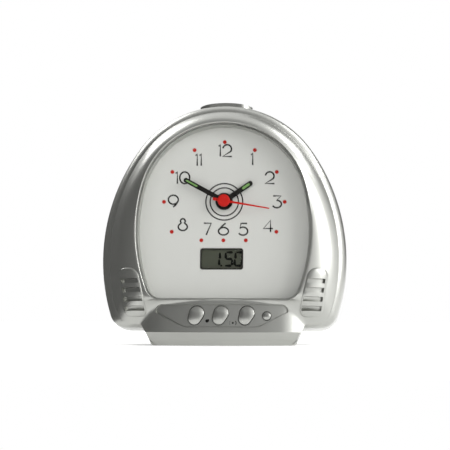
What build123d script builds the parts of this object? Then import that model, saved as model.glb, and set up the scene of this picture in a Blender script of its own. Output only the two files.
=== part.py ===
from build123d import *
import math
import os

# A free-standing talking clock: a silver case that leans back on a short foot, an analogue dial with
# a small digital display in it, four push buttons under the dial and one long button on the crown.
# X runs to the right seen from the front, Y to the back, Z up. The origin is the middle of the foot's
# resting face. Most pieces are drawn in the face frame, which leans back with the case: X as before,
# Y the depth behind the bezel's front rim, Z the height along the face. All lengths in millimetres.

# Case as a whole
lean_angle = 8
rim_foot_reach = 21.9
case_wall = 2.2
seat_gap = 0.1
cut_overrun = 1.0

# Outline of the case at its fullest, along the face
case_half_width = 62.5
case_crown = 126.0
case_shoulder = 8.3
case_rise_share = 1.28
case_bottom = 10.8
case_corner = 9.0

# Depths along the case, behind the front rim
crease_depth = 9.0
full_depth = 14.0
side_depth = 29.0
case_depth = 42.0
crease_inset = 3.8
crease_bottom_rise = 1.3

# Outline of the flat back, by how far it stands in from the case
back_taper = 12.5
back_crown_drop = 11.5
back_shoulder = 7.0
back_rise_share = 1.25
back_bottom_rise = 4.7
back_corner = 8.0

# Window that the dial is seen through, by how far it stands in from the case
bezel_width = 17.3
bezel_crown_width = 10.4
window_shoulder = 1.7
window_rise_share = 1.23
window_bottom_rise = 12.7
window_corner = 8.0
throat_wall = 1.8
throat_inset = 1.3
throat_taper = 0.5
lip_thick = 1.0
lip_reach = 1.6

# Curve of the bezel between the window and the crease, as shares
bezel_mid_share = 0.56
bezel_mid_depth_share = 0.36
bezel_brow = 1.5
band_mid_share = 0.68
band_mid_depth_share = 0.4
tail_mid_share = 0.33
tail_side_share = 0.06

# Lens
lens_recess = 0.8
lens_thick = 1.5
lens_margin = 0.4
lens_play = 0.15

# Chin and foot
chin_bow_radius = 160.0
chin_turn_inset = 9.9
chin_side_radius = 27.6
chin_side_turn = 45
chin_setback = 0.3
chin_crease_height = 6.9
chin_side_inset = 22.6
chin_flare = 1.5
crease_step = 0.2
foot_taper = 24.7
foot_back_reach = 20.6
foot_corner = 8.0
foot_shoulder_height = 15.0

# Recess for the four front buttons
panel_left_margin = 5.3
panel_right_margin = 6.5
panel_top = 21.7
panel_bottom = 9.6
panel_deep = 1.0
panel_wall = 1.6
panel_top_corner = 3.4
panel_low_corner = 7.6
panel_tip_drop = 4.0

# Front buttons
button_gap = 0.4
button_upper_radius = 3.65
button_lower_radius = 3.15
button_spread = 2.75
button_lean = 0.6
button_level = 15.6
button_places = [-13.7, -1.2, 12.0]
button_names = ["set_button", "hour_button", "minute_button"]
button_proud = 1.3
button_dome_radius = 11.0
button_travel = 0.8
button_flange = 0.5
button_flange_thick = 0.8
button_plunger_radius = 1.6
small_button_place = 22.5
small_button_radius = 2.05
small_button_proud = 1.1
small_button_level = 15.7
key_mat_depth = 8.3
key_mat_thick = 0.7
key_dome_radius = 2.2
key_dome_height = 0.8
key_board_thick = 1.4
key_board_left = -26.0
key_board_right = 31.5
key_board_low = 9.8
key_board_high = 21.0
key_post_radius = 1.8
key_post_places = [(-22.5, 15.9), (28.6, 15.9)]

# Louvres on either side of the chin, with their corners measured in from the side of the case
louvre_top = 40.6
louvre_bottom = 15.4
louvre_outer_top = 8.3
louvre_inner_top = 18.7
louvre_outer_low = 11.7
louvre_inner_low = 24.5
louvre_round = 4.6
louvre_proud = 1.0
louvre_deep = 1.3
louvre_count = 4
louvre_pitch = 4.62
louvre_slot = 2.4
louvre_first = 18.6
louvre_edge = 1.1

# Dial
dial_depth = 8.6
dial_thick = 0.6
dial_centre_drop = 50.7
dial_hole_radius = 3.9
dial_margin = 1.0
display_drop = 29.5
display_half_width = 10.95
display_half_height = 5.45
display_corner = 1.3
display_centre = -1.1

# Chassis plate behind the dial
chassis_thick = 1.6
chassis_ear_radius = 2.6
chassis_ear_reach = 14.0
chassis_boss_radius = 2.0
chassis_low_screw_inset = 12.2
chassis_low_screw_level = 47.0
chassis_high_screw_inset = 16.3
chassis_high_screw_drop = 46.0

# Display
frame_wall = 0.6
frame_proud = 0.2
glass_half_width = 13.0
glass_half_height = 7.2
glass_thick = 2.2
strip_thick = 1.6
main_board_depth = 15.6
main_board_thick = 1.4
main_board_side_room = 17.2
main_board_low = 22.5
main_board_gap = 1.3

# Hands, by their height over the dial
hour_hand_length = 17.5
hour_hand_half_width = 1.1
hour_hand_height = 1.6
hour_boss_radius = 4.45
minute_hand_length = 23.5
minute_hand_half_width = 0.9
minute_hand_height = 3.0
minute_boss_radius = 3.0
hand_thick = 0.4
seconds_hand_length = 23.7
seconds_hand_tail = 5.7
seconds_hand_root = 0.6
seconds_hand_tip = 0.3
seconds_tail_half_width = 0.75
seconds_hand_height = 4.3
cap_radius = 3.2
cap_thick = 1.3
lume_inset = 0.5
lume_thick = 0.15
hour_lume_from = 11.3
hour_lume_to = 15.9
minute_lume_from = 15.6
minute_lume_to = 22.2
hour_hand_angle = 55.2
minute_hand_angle = 298.7
seconds_hand_angle = 99.8

# Movement housing
movement_depth = 15.0
movement_wall = 1.2
movement_left = -26.0
movement_right = 26.0
movement_low = -20.5
movement_high = 24.0
movement_corner = 3.0
movement_split_share = 0.55
hub_radius = 3.6
hub_reach = 0.9

# Going train: teeth, modules and levels
pinion_leaves = 6
fifth_teeth = 36
seconds_teeth = 30
third_teeth = 48
centre_teeth = 45
motion_pinion_leaves = 8
cannon_leaves = 10
motion_teeth = 30
hour_teeth = 32
rotor_module = 0.25
fifth_module = 0.32
third_module = 0.34
centre_module = 0.36
motion_module = 0.42
wheel_thick = 0.6
pinion_thick = 1.0
level_step = 1.6
first_level = 0.6
bridge_thick = 1.0
bridge_gap = 0.3
tooth_addendum_share = 0.75
tooth_dedendum_share = 1.15
tooth_root_share = 0.52
tooth_tip_share = 0.22
leaf_root_share = 0.40
leaf_tip_share = 0.20
arbor_radius = 0.5
pivot_radius = 0.4
pivot_play = 0.06
pipe_wall = 0.55
pipe_play = 0.08
third_direction = 180
motion_direction = -40
fifth_direction = 45
rotor_direction = 38
rotor_arbor_radius = 0.35
rotor_magnet_radius = 2.4
rotor_magnet_thick = 1.4
stator_gap = 0.35
stator_thick = 0.9
stator_arm_half_width = 1.5
stator_ring_wall = 1.6
coil_level = 16.0
coil_left = -14.0
coil_right = 8.0
coil_radius = 2.0
coil_core_half_width = 0.9
coil_flange_radius = 2.2
coil_flange_thick = 0.8

# Setting knob
knob_radius = 5.6
knob_height = 4.6
knob_well_radius = 7.4
knob_well_depth = 5.0
knob_ribs = 18
knob_wall = 1.2
stem_seat = 3.0
knob_rib_deep = 0.35

# Crown button
talk_half_width = 13.5
talk_half_depth = 6.4
talk_centre_depth = 21.2
talk_seat_drop = 0.8
talk_proud = 1.8
talk_gap = 0.35
talk_travel = 1.2
talk_flange = 1.4
talk_flange_thick = 1.2
talk_plunger_radius = 2.0
talk_board_drop = 16.0
talk_board_thick = 1.4
talk_board_half_width = 13.0
talk_board_half_depth = 5.5
guide_wall = 1.6
guide_hold = 0.9
switch_side = 6.0
switch_height = 3.4
switch_cap_radius = 1.7
switch_cap_height = 1.6

# Speaker
speaker_radius = 17.5
speaker_drop = 36.0
speaker_depth = 5.2
speaker_rim = 1.6
speaker_magnet_radius = 7.0
speaker_magnet_thick = 3.2
speaker_cone_wall = 0.5
speaker_clamp_wall = 1.6
grille_rings = 3
grille_pitch = 3.6
grille_slot = 1.5
grille_first_radius = 5.0
grille_bridges = 4
grille_bridge = 2.6

# Battery compartment, its cells and its door
cell_radius = 7.1
cell_length = 49.0
cell_nub_radius = 2.7
cell_nub_length = 1.2
cell_play = 0.3
cell_pitch = 15.2
bay_wall = 1.6
bay_end_room = 2.4
bay_bottom = 23.0
door_thick = 2.0
door_play = 0.35
door_pin_radius = 0.6
door_pin_length = 1.2
door_pin_play = 0.06
door_notch_radius = 6.0
door_ledge = 1.0
door_grip_slots = 4
door_grip_pitch = 2.0
door_grip_slot = 0.8
door_grip_deep = 0.6
contact_thick = 0.4
contact_half_width = 4.5

# Screws and the bosses that take them
screw_shank_radius = 1.35
screw_length = 9.5
screw_head_radius = 2.7
screw_head_thick = 1.8
screw_play = 0.05
boss_radius = 2.45
boss_end_depth = 16.0
boss_start_depth = 5.2
tunnel_wall = 1.2
tunnel_floor = 2.0
case_high_screw_inset = 7.769
case_high_screw_turn = 38.968
case_low_screw_inset = 15.0
case_low_screw_level = 31.5
small_screw_shank_radius = 0.9
small_screw_length = 3.6
small_screw_head_radius = 1.8
small_screw_head_thick = 1.1
drive_share = 0.45
movement_tab_rise = 2.4

# Parts on the boards
chip_side = 9.0
chip_thick = 1.4
chip_bevel = 0.45
chip_place = (-12.0, 38.0)
capacitor_radius = 2.4
capacitor_height = 5.4
capacitor_place = (10.0, 44.0)
crystal_radius = 1.0
crystal_length = 6.0
crystal_seat_share = 0.9
capacitor_round_share = 0.2


def face_plane(depth):
    return Plane(origin=(0, depth, 0), x_dir=(1, 0, 0), z_dir=(0, -1, 0))


def slab(outline, front, back):
    return extrude(face_plane(back) * outline, amount=back - front)


def disc(radius, x, height, front, back):
    return slab(Pos(x, height) * Circle(radius), front, back)


def lean(shape):
    return Pos(0, -rim_foot_reach, 0) * Rot(-lean_angle, 0, 0) * shape


def polar(distance, direction):
    angle = math.radians(direction)
    return distance * math.cos(angle), distance * math.sin(angle)


# Outlines of the case: a crown arc, two flank arcs tangent to it, two corner arcs and a flat bottom.
# The shoulder is how much smaller the crown's radius is than the half width, and the rise is how far the
# crown stands over the widest place, as a share of the half width.
window_bottom = case_bottom + window_bottom_rise
window_crown = case_crown - bezel_crown_width
case_size = dict(half=case_half_width, crown=case_crown, shoulder=case_shoulder,
                 rise=case_rise_share, bottom=case_bottom, corner=case_corner)
back_size = dict(half=case_half_width - back_taper, crown=case_crown - back_crown_drop, shoulder=back_shoulder,
                 rise=back_rise_share, bottom=case_bottom + back_bottom_rise,
                 corner=back_corner)
window_size = dict(half=case_half_width - bezel_width, crown=window_crown, shoulder=window_shoulder,
                   rise=window_rise_share, bottom=window_bottom, corner=window_corner)

# Places that follow the case
dial_centre = case_crown - dial_centre_drop
display_level = dial_centre - display_drop
talk_board_level = case_crown - talk_board_drop
speaker_level = case_crown - speaker_drop
main_board_high = dial_centre + movement_low - main_board_gap
main_board_half_width = case_half_width - bezel_width - main_board_side_room
chin_half_width = case_half_width - chin_side_inset
chin_bow_half = chin_half_width - chin_turn_inset
crown_radius = case_half_width - case_shoulder
crown_centre = case_crown - crown_radius


def both_ways(inset_from_side, height):
    x = case_half_width - inset_from_side
    return [(-x, height), (x, height)]


def on_crown(inset_from_crown, turn):
    x, rise = polar(crown_radius - inset_from_crown, turn)
    return [(-x, crown_centre + rise), (x, crown_centre + rise)]


chassis_screw_places = [*both_ways(chassis_low_screw_inset, chassis_low_screw_level),
                        *both_ways(chassis_high_screw_inset, case_crown - chassis_high_screw_drop)]
case_screw_places = [*on_crown(case_high_screw_inset, case_high_screw_turn),
                     *both_ways(case_low_screw_inset, case_low_screw_level)]


def widest(size):
    return size["crown"] - size["half"] * size["rise"]


def inset(size, by):
    grown = {**size, "half": size["half"] - by, "crown": size["crown"] - by, "bottom": size["bottom"] + by,
             "corner": size["corner"] - by}
    grown["rise"] = (grown["crown"] - widest(size)) / grown["half"]
    return grown


def between(first, second, share):
    return {key: first[key] + (second[key] - first[key]) * share for key in first}


crease_size = inset(case_size, crease_inset)
crease_size["bottom"] = case_bottom + crease_bottom_rise
crease_size["corner"] = case_corner


def outline(size):
    arc = size["half"] - size["shoulder"]
    arc_centre = size["crown"] - arc
    rise = arc_centre - widest(size)
    flank = (size["half"] ** 2 + rise ** 2 - arc ** 2) / (2 * size["shoulder"])
    flank_x = size["half"] - flank
    join = math.degrees(math.atan2(rise, -flank_x))
    corner_z = size["bottom"] + size["corner"]
    reach = flank - size["corner"]
    turn = math.degrees(math.asin((widest(size) - corner_z) / reach))
    corner_x = flank_x + reach * math.cos(math.radians(turn))
    edges = [
        Line((-corner_x, size["bottom"]), (corner_x, size["bottom"])),
        CenterArc((corner_x, corner_z), size["corner"], -90, 90 - turn),
        CenterArc((flank_x, widest(size)), flank, -turn, join + turn),
        CenterArc((0, arc_centre), arc, join, 180 - 2 * join),
        CenterArc((-flank_x, widest(size)), flank, 180 - join, join + turn),
        CenterArc((-corner_x, corner_z), size["corner"], 180 + turn, 90 - turn),
    ]
    return make_face(edges)


def skin(stations):
    return loft([face_plane(depth) * outline(size) for depth, size in stations])


def bezel_solid():
    brow = between(window_size, crease_size, bezel_mid_share)
    brow["bottom"] = window_bottom - bezel_brow
    return skin([(0, window_size), (crease_depth * bezel_mid_depth_share, brow),
                 (crease_depth, crease_size)])


def band_solid(wall):
    middle = between(crease_size, case_size, band_mid_share)
    middle_depth = crease_depth + (full_depth - crease_depth) * band_mid_depth_share
    return skin([(crease_depth, inset(crease_size, wall)), (middle_depth, inset(middle, wall)),
                 (full_depth, inset(case_size, wall))])


def tail_solid(wall):
    near_back = between(case_size, back_size, tail_mid_share)
    near_depth = side_depth + (case_depth - side_depth) * (1 - tail_mid_share)
    side = between(case_size, back_size, tail_side_share)
    return skin([(full_depth, inset(case_size, wall)), (side_depth, inset(side, wall)),
                 (near_depth - wall, inset(near_back, wall)), (case_depth - wall, inset(back_size, wall))])


# Chin and foot: a bowed front that carries the button recess, over a foot that draws in to the floor
def chin_outline(inner):
    top = window_bottom + throat_wall
    shoulder = case_bottom + crease_bottom_rise
    low = chin_half_width - inner
    high = low + chin_flare
    return Polygon((-low, chin_crease_height), (low, chin_crease_height), (high, shoulder), (high, top),
                   (-high, top), (-high, shoulder), align=None)


chin_turn = math.degrees(math.asin(chin_bow_half / chin_bow_radius))
side_centre_x = (chin_bow_radius - chin_side_radius) * math.sin(math.radians(chin_turn))
side_centre_y = (chin_setback + chin_bow_radius
                 - (chin_bow_radius - chin_side_radius) * math.cos(math.radians(chin_turn)))


def bow_depth(x):
    # Depth of the bowed chin at a distance from the middle: a long arc, then a tighter one at each side
    if abs(x) <= chin_bow_half:
        return chin_setback + chin_bow_radius - math.sqrt(chin_bow_radius ** 2 - x ** 2)
    return side_centre_y - math.sqrt(chin_side_radius ** 2 - (abs(x) - side_centre_x) ** 2)


def bow_block(inner):
    side = chin_side_radius - inner
    end = math.radians(chin_side_turn)
    tip = (side_centre_x + side * math.sin(end), side_centre_y - side * math.cos(end))
    edges = [
        CenterArc((0, chin_setback + chin_bow_radius), chin_bow_radius - inner, -90 - chin_turn, 2 * chin_turn),
        CenterArc((side_centre_x, side_centre_y), side, chin_turn - 90, chin_side_turn - chin_turn),
        CenterArc((-side_centre_x, side_centre_y), side, -90 - chin_side_turn, chin_side_turn - chin_turn),
        Line(tip, (tip[0], case_depth)), Line((tip[0], case_depth), (-tip[0], case_depth)),
        Line((-tip[0], case_depth), (-tip[0], tip[1])),
    ]
    return extrude(make_face(edges), amount=case_crown)


def above(height):
    span = 4 * case_half_width
    return Pos(0, 0, height + span / 2) * Box(span, span, span)


def foot_front(x):
    # Where the bowed chin stands at the height of its crease, measured from the origin
    bow = bow_depth(x)
    lean_rad = math.radians(lean_angle)
    along = (chin_crease_height + bow * math.sin(lean_rad)) / math.cos(lean_rad)
    return -rim_foot_reach + along * math.sin(lean_rad) + bow * math.cos(lean_rad)


def foot_plan(inner):
    side = chin_half_width - crease_step - inner
    back = foot_back_reach - inner

    def along_front(x):
        return x, foot_front(x) + crease_step + inner

    middle = (side + chin_bow_half) / 2
    edges = [
        ThreePointArc(along_front(-side), along_front(-middle), along_front(-chin_bow_half)),
        ThreePointArc(along_front(-chin_bow_half), along_front(0), along_front(chin_bow_half)),
        ThreePointArc(along_front(chin_bow_half), along_front(middle), along_front(side)),
    ]
    rest = Polyline(along_front(side), (side, back), (-side, back), along_front(-side))
    plan = make_face([*edges, *rest.edges()])
    rear = plan.vertices().sort_by(Axis.Y)[-2:]
    return fillet(rear, foot_corner - inner)


def foot_solid(inner):
    crease = Plane.XY.offset(chin_crease_height) * foot_plan(inner)
    down = extrude(crease, amount=-(chin_crease_height - inner), taper=foot_taper)
    up = extrude(crease, amount=foot_shoulder_height - chin_crease_height)
    return down, up


def before_crease():
    span = 4 * case_half_width
    return lean(Pos(0, crease_depth - span / 2, 0) * Box(span, span, span))


def lip_ring():
    outer = slab(outline(inset(crease_size, case_wall - lip_thick)), crease_depth - case_wall,
                 crease_depth + lip_reach)
    inner = slab(outline(inset(crease_size, case_wall)), crease_depth - 2 * case_wall,
                 crease_depth + 2 * lip_reach)
    return outer - inner - slab(chin_outline(-case_wall), 0, case_depth)


# Button shapes
def button_outline(grow):
    # Two round ends of different sizes joined by their outer tangents
    upper = (button_lean, button_spread / 2)
    lower = (-button_lean, -button_spread / 2)
    along = direction_to(lower, upper)
    narrowing = (button_lower_radius - button_upper_radius) / math.dist(upper, lower)
    turn = math.degrees(math.acos(narrowing))
    top = CenterArc(upper, button_upper_radius + grow, along - turn, 2 * turn)
    bottom = CenterArc(lower, button_lower_radius + grow, along + turn, 360 - 2 * turn)
    return make_face([top, Line(top @ 1, bottom @ 0), bottom, Line(bottom @ 1, top @ 0)])


def panel_outline():
    tip = panel_top - panel_tip_drop
    left = panel_left_margin - chin_half_width
    right = chin_half_width - panel_right_margin
    shape = Polygon((left, panel_top), (left, tip), (left + 2 * panel_low_corner, panel_bottom),
                    (right - 2 * panel_low_corner, panel_bottom), (right, tip), (right, panel_top), align=None)
    shape = fillet(shape.vertices().sort_by(Axis.Y)[-2:], panel_top_corner)
    return fillet(shape.vertices().sort_by(Axis.Y)[:2], panel_low_corner)


def louvre_outline(inner):
    shape = Polygon((case_half_width - louvre_inner_low + inner, louvre_bottom + inner),
                    (case_half_width - louvre_outer_low - inner, louvre_bottom + inner),
                    (case_half_width - louvre_outer_top - inner, louvre_top - inner),
                    (case_half_width - louvre_inner_top + inner, louvre_top - inner), align=None)
    return fillet(shape.vertices(), louvre_round - inner)


def louvre_slots():
    bars = [Pos(0, louvre_first + louvre_pitch * step + louvre_slot / 2)
            * Rectangle(4 * case_half_width, louvre_slot) for step in range(louvre_count)]
    return louvre_outline(louvre_edge) & Sketch() + bars


def louvre_pod(face):
    body = slab(louvre_outline(0), -louvre_proud, crease_depth - case_wall)
    return body & (Pos(0, -louvre_proud, 0) * face)


def louvre_cut(face):
    body = slab(louvre_slots(), -louvre_proud - cut_overrun, crease_depth)
    return body - (Pos(0, louvre_deep, 0) * face)


# Front shell: bezel, chin, button recess, louvres and the bosses that hold what lies behind it
def front_face():
    chin = slab(chin_outline(0), -cut_overrun, crease_depth) & bow_block(0)
    return bezel_solid() + chin


def front_cavity():
    brow = between(window_size, crease_size, bezel_mid_share)
    brow["bottom"] = window_bottom - bezel_brow
    hollow = skin([(crease_depth * bezel_mid_depth_share + case_wall, inset(brow, case_wall)),
                   (crease_depth, inset(crease_size, case_wall))])
    chin = slab(chin_outline(case_wall), 0, crease_depth) & bow_block(panel_deep + panel_wall)
    throat = slab(outline(inset(window_size, -throat_wall)), 0, crease_depth)
    return hollow + chin - throat


def window_cut():
    rebate = slab(outline(inset(window_size, lens_margin)), -cut_overrun, lens_recess + lens_thick)
    throat = skin([(lens_recess, inset(window_size, throat_inset)),
                   (crease_depth + cut_overrun, inset(window_size, throat_inset + throat_taper))])
    seat = slab(outline(inset(window_size, -dial_margin - seat_gap)), dial_depth, crease_depth + cut_overrun)
    return rebate + throat + seat


def panel_cut():
    return slab(panel_outline(), -cut_overrun, crease_depth) - bow_block(panel_deep)


def button_place(index):
    return Pos(button_places[index], button_level)


def button_holes():
    shapes = [button_place(index) * button_outline(button_gap) for index in range(len(button_names))]
    shapes.append(Pos(small_button_place, small_button_level) * Circle(small_button_radius + button_gap))
    return [slab(shape, -cut_overrun, crease_depth) for shape in shapes]


def front_bosses():
    posts = [disc(boss_radius, x, z, boss_start_depth, boss_end_depth) for x, z in case_screw_places]
    posts += [disc(chassis_boss_radius, x, z, boss_start_depth, dial_depth + dial_thick)
              for x, z in chassis_screw_places]
    return posts


def front_bores():
    bores = [disc(screw_shank_radius + screw_play, x, z, boss_end_depth - screw_length, boss_end_depth + cut_overrun)
             for x, z in case_screw_places]
    bores += [disc(small_screw_shank_radius + screw_play, x, z, boss_start_depth, crease_depth + cut_overrun)
              for x, z in chassis_screw_places]
    return bores


def front_shell():
    face = front_face()
    shell = face - front_cavity() + lip_ring()
    for pod in (louvre_pod(face), mirror(louvre_pod(face), Plane.YZ)):
        shell = shell + pod
    for cut in (louvre_cut(face), mirror(louvre_cut(face), Plane.YZ)):
        shell = shell - cut
    shell = shell + [*front_bosses(), *key_posts()]
    for cut in (window_cut(), panel_cut(), *button_holes(), *front_bores(), *key_bores()):
        shell = shell - cut
    down, up = foot_solid(0)
    hollow_down, hollow_up = foot_solid(case_wall)
    foot = (down & before_crease()) - hollow_down
    shell = lean(shell) & above(chin_crease_height)
    return shell + foot - (hollow_up & before_crease() - lean(slab(chin_outline(0), -cut_overrun, crease_depth)))


# Lens and dial
def lens():
    return slab(outline(inset(window_size, lens_margin + lens_play)), lens_recess, lens_recess + lens_thick)


def display_opening(grow):
    size = RectangleRounded(2 * (display_half_width + grow), 2 * (display_half_height + grow), display_corner)
    return Pos(display_centre, display_level) * size


def boss_notches():
    return [disc(boss_radius + button_gap, x, z, 0, case_depth) for x, z in case_screw_places]


def dial_plate():
    plate = slab(outline(inset(window_size, -dial_margin)), dial_depth, dial_depth + dial_thick)
    plate = plate - slab(display_opening(seat_gap), 0, case_depth)
    return plate - [disc(dial_hole_radius, 0, dial_centre, 0, case_depth), *boss_notches()]


def chassis():
    near = dial_depth + dial_thick
    far = near + chassis_thick
    plate = slab(outline(inset(window_size, -dial_margin)), near, far)
    for x, z in chassis_screw_places:
        reach = chassis_ear_reach / 2 if x < 0 else -chassis_ear_reach / 2
        bridge = Pos(x + reach, z) * Rectangle(chassis_ear_reach, 2 * chassis_ear_radius)
        plate = plate + slab(bridge, near, far) + disc(chassis_ear_radius, x, z, near, far)
    holes = [disc(small_screw_shank_radius + screw_play, x, z, 0, case_depth) for x, z in chassis_screw_places]
    glass = Rectangle(2 * (glass_half_width + seat_gap), 2 * (glass_half_height + seat_gap))
    window = slab(Pos(display_centre, display_level) * glass, 0, case_depth)
    hub = disc(dial_hole_radius, 0, dial_centre, 0, case_depth)
    plate = plate - [window, hub, *holes, *boss_notches()]
    plate = plate + [screw_post(x, z, far, main_board_depth) for x, z in board_screw_places()]
    return plate + [screw_post(x, z, far, far + movement_tab_rise) for x, z in movement_screw_places()]


def screw_post(x, z, near, far):
    post = disc(chassis_boss_radius, x, z, near, far)
    return post - disc(small_screw_shank_radius + screw_play, x, z, near, far)


def board_screw_places():
    margin = chassis_boss_radius + seat_gap
    x = main_board_half_width - margin
    return [(-x, main_board_low + 2 * margin), (x, main_board_low + 2 * margin)]


# Display: a dark frame in the dial's window, the glass behind it and two rubber contact strips
def display_frame():
    ring = display_opening(0) - display_opening(-frame_wall)
    return slab(ring, dial_depth - frame_proud, dial_depth + dial_thick)


def display_glass():
    near = dial_depth + dial_thick
    plate = Rectangle(2 * glass_half_width, 2 * glass_half_height)
    return slab(Pos(display_centre, display_level) * plate, near, near + glass_thick)


def contact_strips():
    near = dial_depth + dial_thick + glass_thick
    strips = []
    for side in (-1, 1):
        level = display_level + side * (glass_half_height - strip_thick / 2)
        shape = Pos(display_centre, level) * Rectangle(2 * glass_half_width - strip_thick, strip_thick)
        strips.append(slab(shape, near, main_board_depth))
    return strips


def main_board():
    height = main_board_high - main_board_low
    shape = Pos(0, main_board_low + height / 2) * Rectangle(2 * main_board_half_width, height)
    board = slab(shape, main_board_depth, main_board_depth + main_board_thick)
    holes = [disc(small_screw_shank_radius + screw_play, x, z, 0, case_depth) for x, z in board_screw_places()]
    return board - holes


# Hands
def hand(length, half_width, boss, height, angle, tail):
    blade = Pos(0, (length - tail) / 2) * SlotOverall(length + tail, 2 * half_width, rotation=90)
    shape = Circle(boss) + blade
    return place_hand(shape, height, hand_thick, angle)


def place_hand(shape, height, thick, angle):
    near = dial_depth - height - thick
    return slab(Pos(0, dial_centre) * Rot(0, 0, -angle) * shape, near, near + thick)


def lume(start, end, half_width, height, angle):
    strip = Pos(0, (start + end) / 2) * SlotOverall(end - start, 2 * half_width, rotation=90)
    return place_hand(strip, height + hand_thick, lume_thick, angle)


def hour_hand():
    blade = hand(hour_hand_length, hour_hand_half_width, hour_boss_radius, hour_hand_height, hour_hand_angle, 0)
    return blade - disc(hour_pipe_outer() + pivot_play, 0, dial_centre, 0, crease_depth)


def minute_hand():
    blade = hand(minute_hand_length, minute_hand_half_width, minute_boss_radius, minute_hand_height,
                 minute_hand_angle, 0)
    return blade - disc(minute_pipe_outer() + pivot_play, 0, dial_centre, 0, crease_depth)


def seconds_hand():
    blade = Polygon((-seconds_hand_root, 0), (seconds_hand_root, 0), (seconds_hand_tip, seconds_hand_length),
                    (-seconds_hand_tip, seconds_hand_length), align=None)
    tail = Pos(0, -seconds_hand_tail / 2) * Rectangle(2 * seconds_tail_half_width, seconds_hand_tail)
    hand_body = place_hand(blade + tail + Circle(cap_radius), seconds_hand_height, hand_thick, seconds_hand_angle)
    near = dial_depth - seconds_hand_height - hand_thick
    cap = disc(cap_radius, 0, dial_centre, near - cap_thick, near)
    rim = cap.edges().filter_by(GeomType.CIRCLE).sort_by(Axis.Y)[0]
    cap = fillet(rim, cap_thick / 2)
    return hand_body + cap - disc(arbor_radius + pivot_play, 0, dial_centre, near, crease_depth)


def minute_pipe_inner():
    return arbor_radius + pipe_play


def minute_pipe_outer():
    return minute_pipe_inner() + pipe_wall


def hour_pipe_inner():
    return minute_pipe_outer() + pipe_play


def hour_pipe_outer():
    return hour_pipe_inner() + pipe_wall


# Movement: levels of the wheels, counted from the front plate
def movement_near():
    return dial_depth + dial_thick + chassis_thick


def movement_far():
    return movement_near() + movement_depth


def level(number):
    start = movement_near() + movement_wall + first_level
    step = number * level_step
    bridge = bridge_thick + 2 * bridge_gap + pinion_thick - wheel_thick - (level_step - wheel_thick)
    return start + step + (bridge if number > 3 else 0)


def bridge_near():
    return level(3) + wheel_thick + bridge_gap


def plan_outline(grow):
    width = movement_right - movement_left + 2 * grow
    height = movement_high - movement_low + 2 * grow
    middle = ((movement_left + movement_right) / 2, dial_centre + (movement_low + movement_high) / 2)
    return Pos(*middle) * RectangleRounded(width, height, movement_corner + grow)


def axis_of(direction, distance, start=(0, 0)):
    x, z = polar(distance, direction)
    return start[0] + x, start[1] + z


third_axis = axis_of(third_direction, third_module * (pinion_leaves + third_teeth) / 2)
motion_axis = axis_of(motion_direction, motion_module * (cannon_leaves + motion_teeth) / 2)
stem_axis = axis_of(motion_direction, motion_module * (cannon_leaves + motion_teeth) / 2, motion_axis)
fifth_axis = axis_of(fifth_direction, fifth_module * (pinion_leaves + seconds_teeth) / 2)
rotor_axis = axis_of(rotor_direction, rotor_module * (pinion_leaves + fifth_teeth) / 2, fifth_axis)


def at_axis(axis, radius, front, back):
    return disc(radius, axis[0], dial_centre + axis[1], front, back)


def gear(axis, count, module, front, thick, facing, tooth_faces):
    # A gear whose tooth, or gap, points in the direction it faces at rest
    leaf = count <= cannon_leaves
    root_share = leaf_root_share if leaf else tooth_root_share
    tip_share = leaf_tip_share if leaf else tooth_tip_share
    root = module * (count / 2 - tooth_dedendum_share)
    tip = module * (count / 2 + tooth_addendum_share)
    pitch = 360 / count
    start = facing if tooth_faces else facing + pitch / 2
    points = []
    for tooth in range(count):
        middle = start + tooth * pitch
        points.append(polar(root, middle - pitch * root_share / 2))
        points.append(polar(tip, middle - pitch * tip_share / 2))
        points.append(polar(tip, middle + pitch * tip_share / 2))
        points.append(polar(root, middle + pitch * root_share / 2))
    shape = Pos(axis[0], dial_centre + axis[1]) * Polygon(*points, align=None)
    return slab(shape, front, front + thick)


def wheel(axis, count, module, number, facing, tooth_faces=False):
    return gear(axis, count, module, level(number), wheel_thick, facing, tooth_faces)


def pinion(axis, count, module, number, facing, tooth_faces=True):
    front = level(number) + (wheel_thick - pinion_thick) / 2
    return gear(axis, count, module, front, pinion_thick, facing, tooth_faces)


def direction_to(start, end):
    return math.degrees(math.atan2(end[1] - start[1], end[0] - start[0]))


def plate_inner():
    return movement_near() + movement_wall


def lid_inner():
    return movement_far() - movement_wall


centre_axis = (0, 0)


def hour_wheel():
    blank = wheel(centre_axis, hour_teeth, motion_module, 0, motion_direction)
    tube = at_axis(centre_axis, hour_pipe_outer(), dial_depth - hour_hand_height - hand_thick, level(0) + wheel_thick)
    return blank + tube - at_axis(centre_axis, hour_pipe_inner(), 0, case_depth)


def motion_wheel():
    blank = wheel(motion_axis, motion_teeth, motion_module, 1, motion_direction)
    leaves = pinion(motion_axis, motion_pinion_leaves, motion_module, 0, motion_direction + 180)
    neck = at_axis(motion_axis, arbor_radius + pipe_wall, level(0), level(1) + wheel_thick)
    return blank + leaves + neck - at_axis(motion_axis, arbor_radius + pivot_play, 0, case_depth)


def centre_wheel():
    blank = wheel(centre_axis, centre_teeth, centre_module, 2, third_direction)
    cannon = pinion(centre_axis, cannon_leaves, motion_module, 1, motion_direction)
    tube = at_axis(centre_axis, minute_pipe_outer(), dial_depth - minute_hand_height - hand_thick,
                   level(2) + wheel_thick)
    return blank + cannon + tube - at_axis(centre_axis, minute_pipe_inner(), 0, case_depth)


def third_wheel():
    blank = wheel(third_axis, third_teeth, third_module, 3, third_direction + 180)
    leaves = pinion(third_axis, pinion_leaves, centre_module, 2, third_direction + 180)
    arbor = at_axis(third_axis, arbor_radius, plate_inner() + seat_gap, bridge_near() - seat_gap)
    pivots = at_axis(third_axis, pivot_radius, plate_inner() - movement_wall / 2, bridge_near() + bridge_thick / 2)
    return blank + leaves + arbor + pivots


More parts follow.
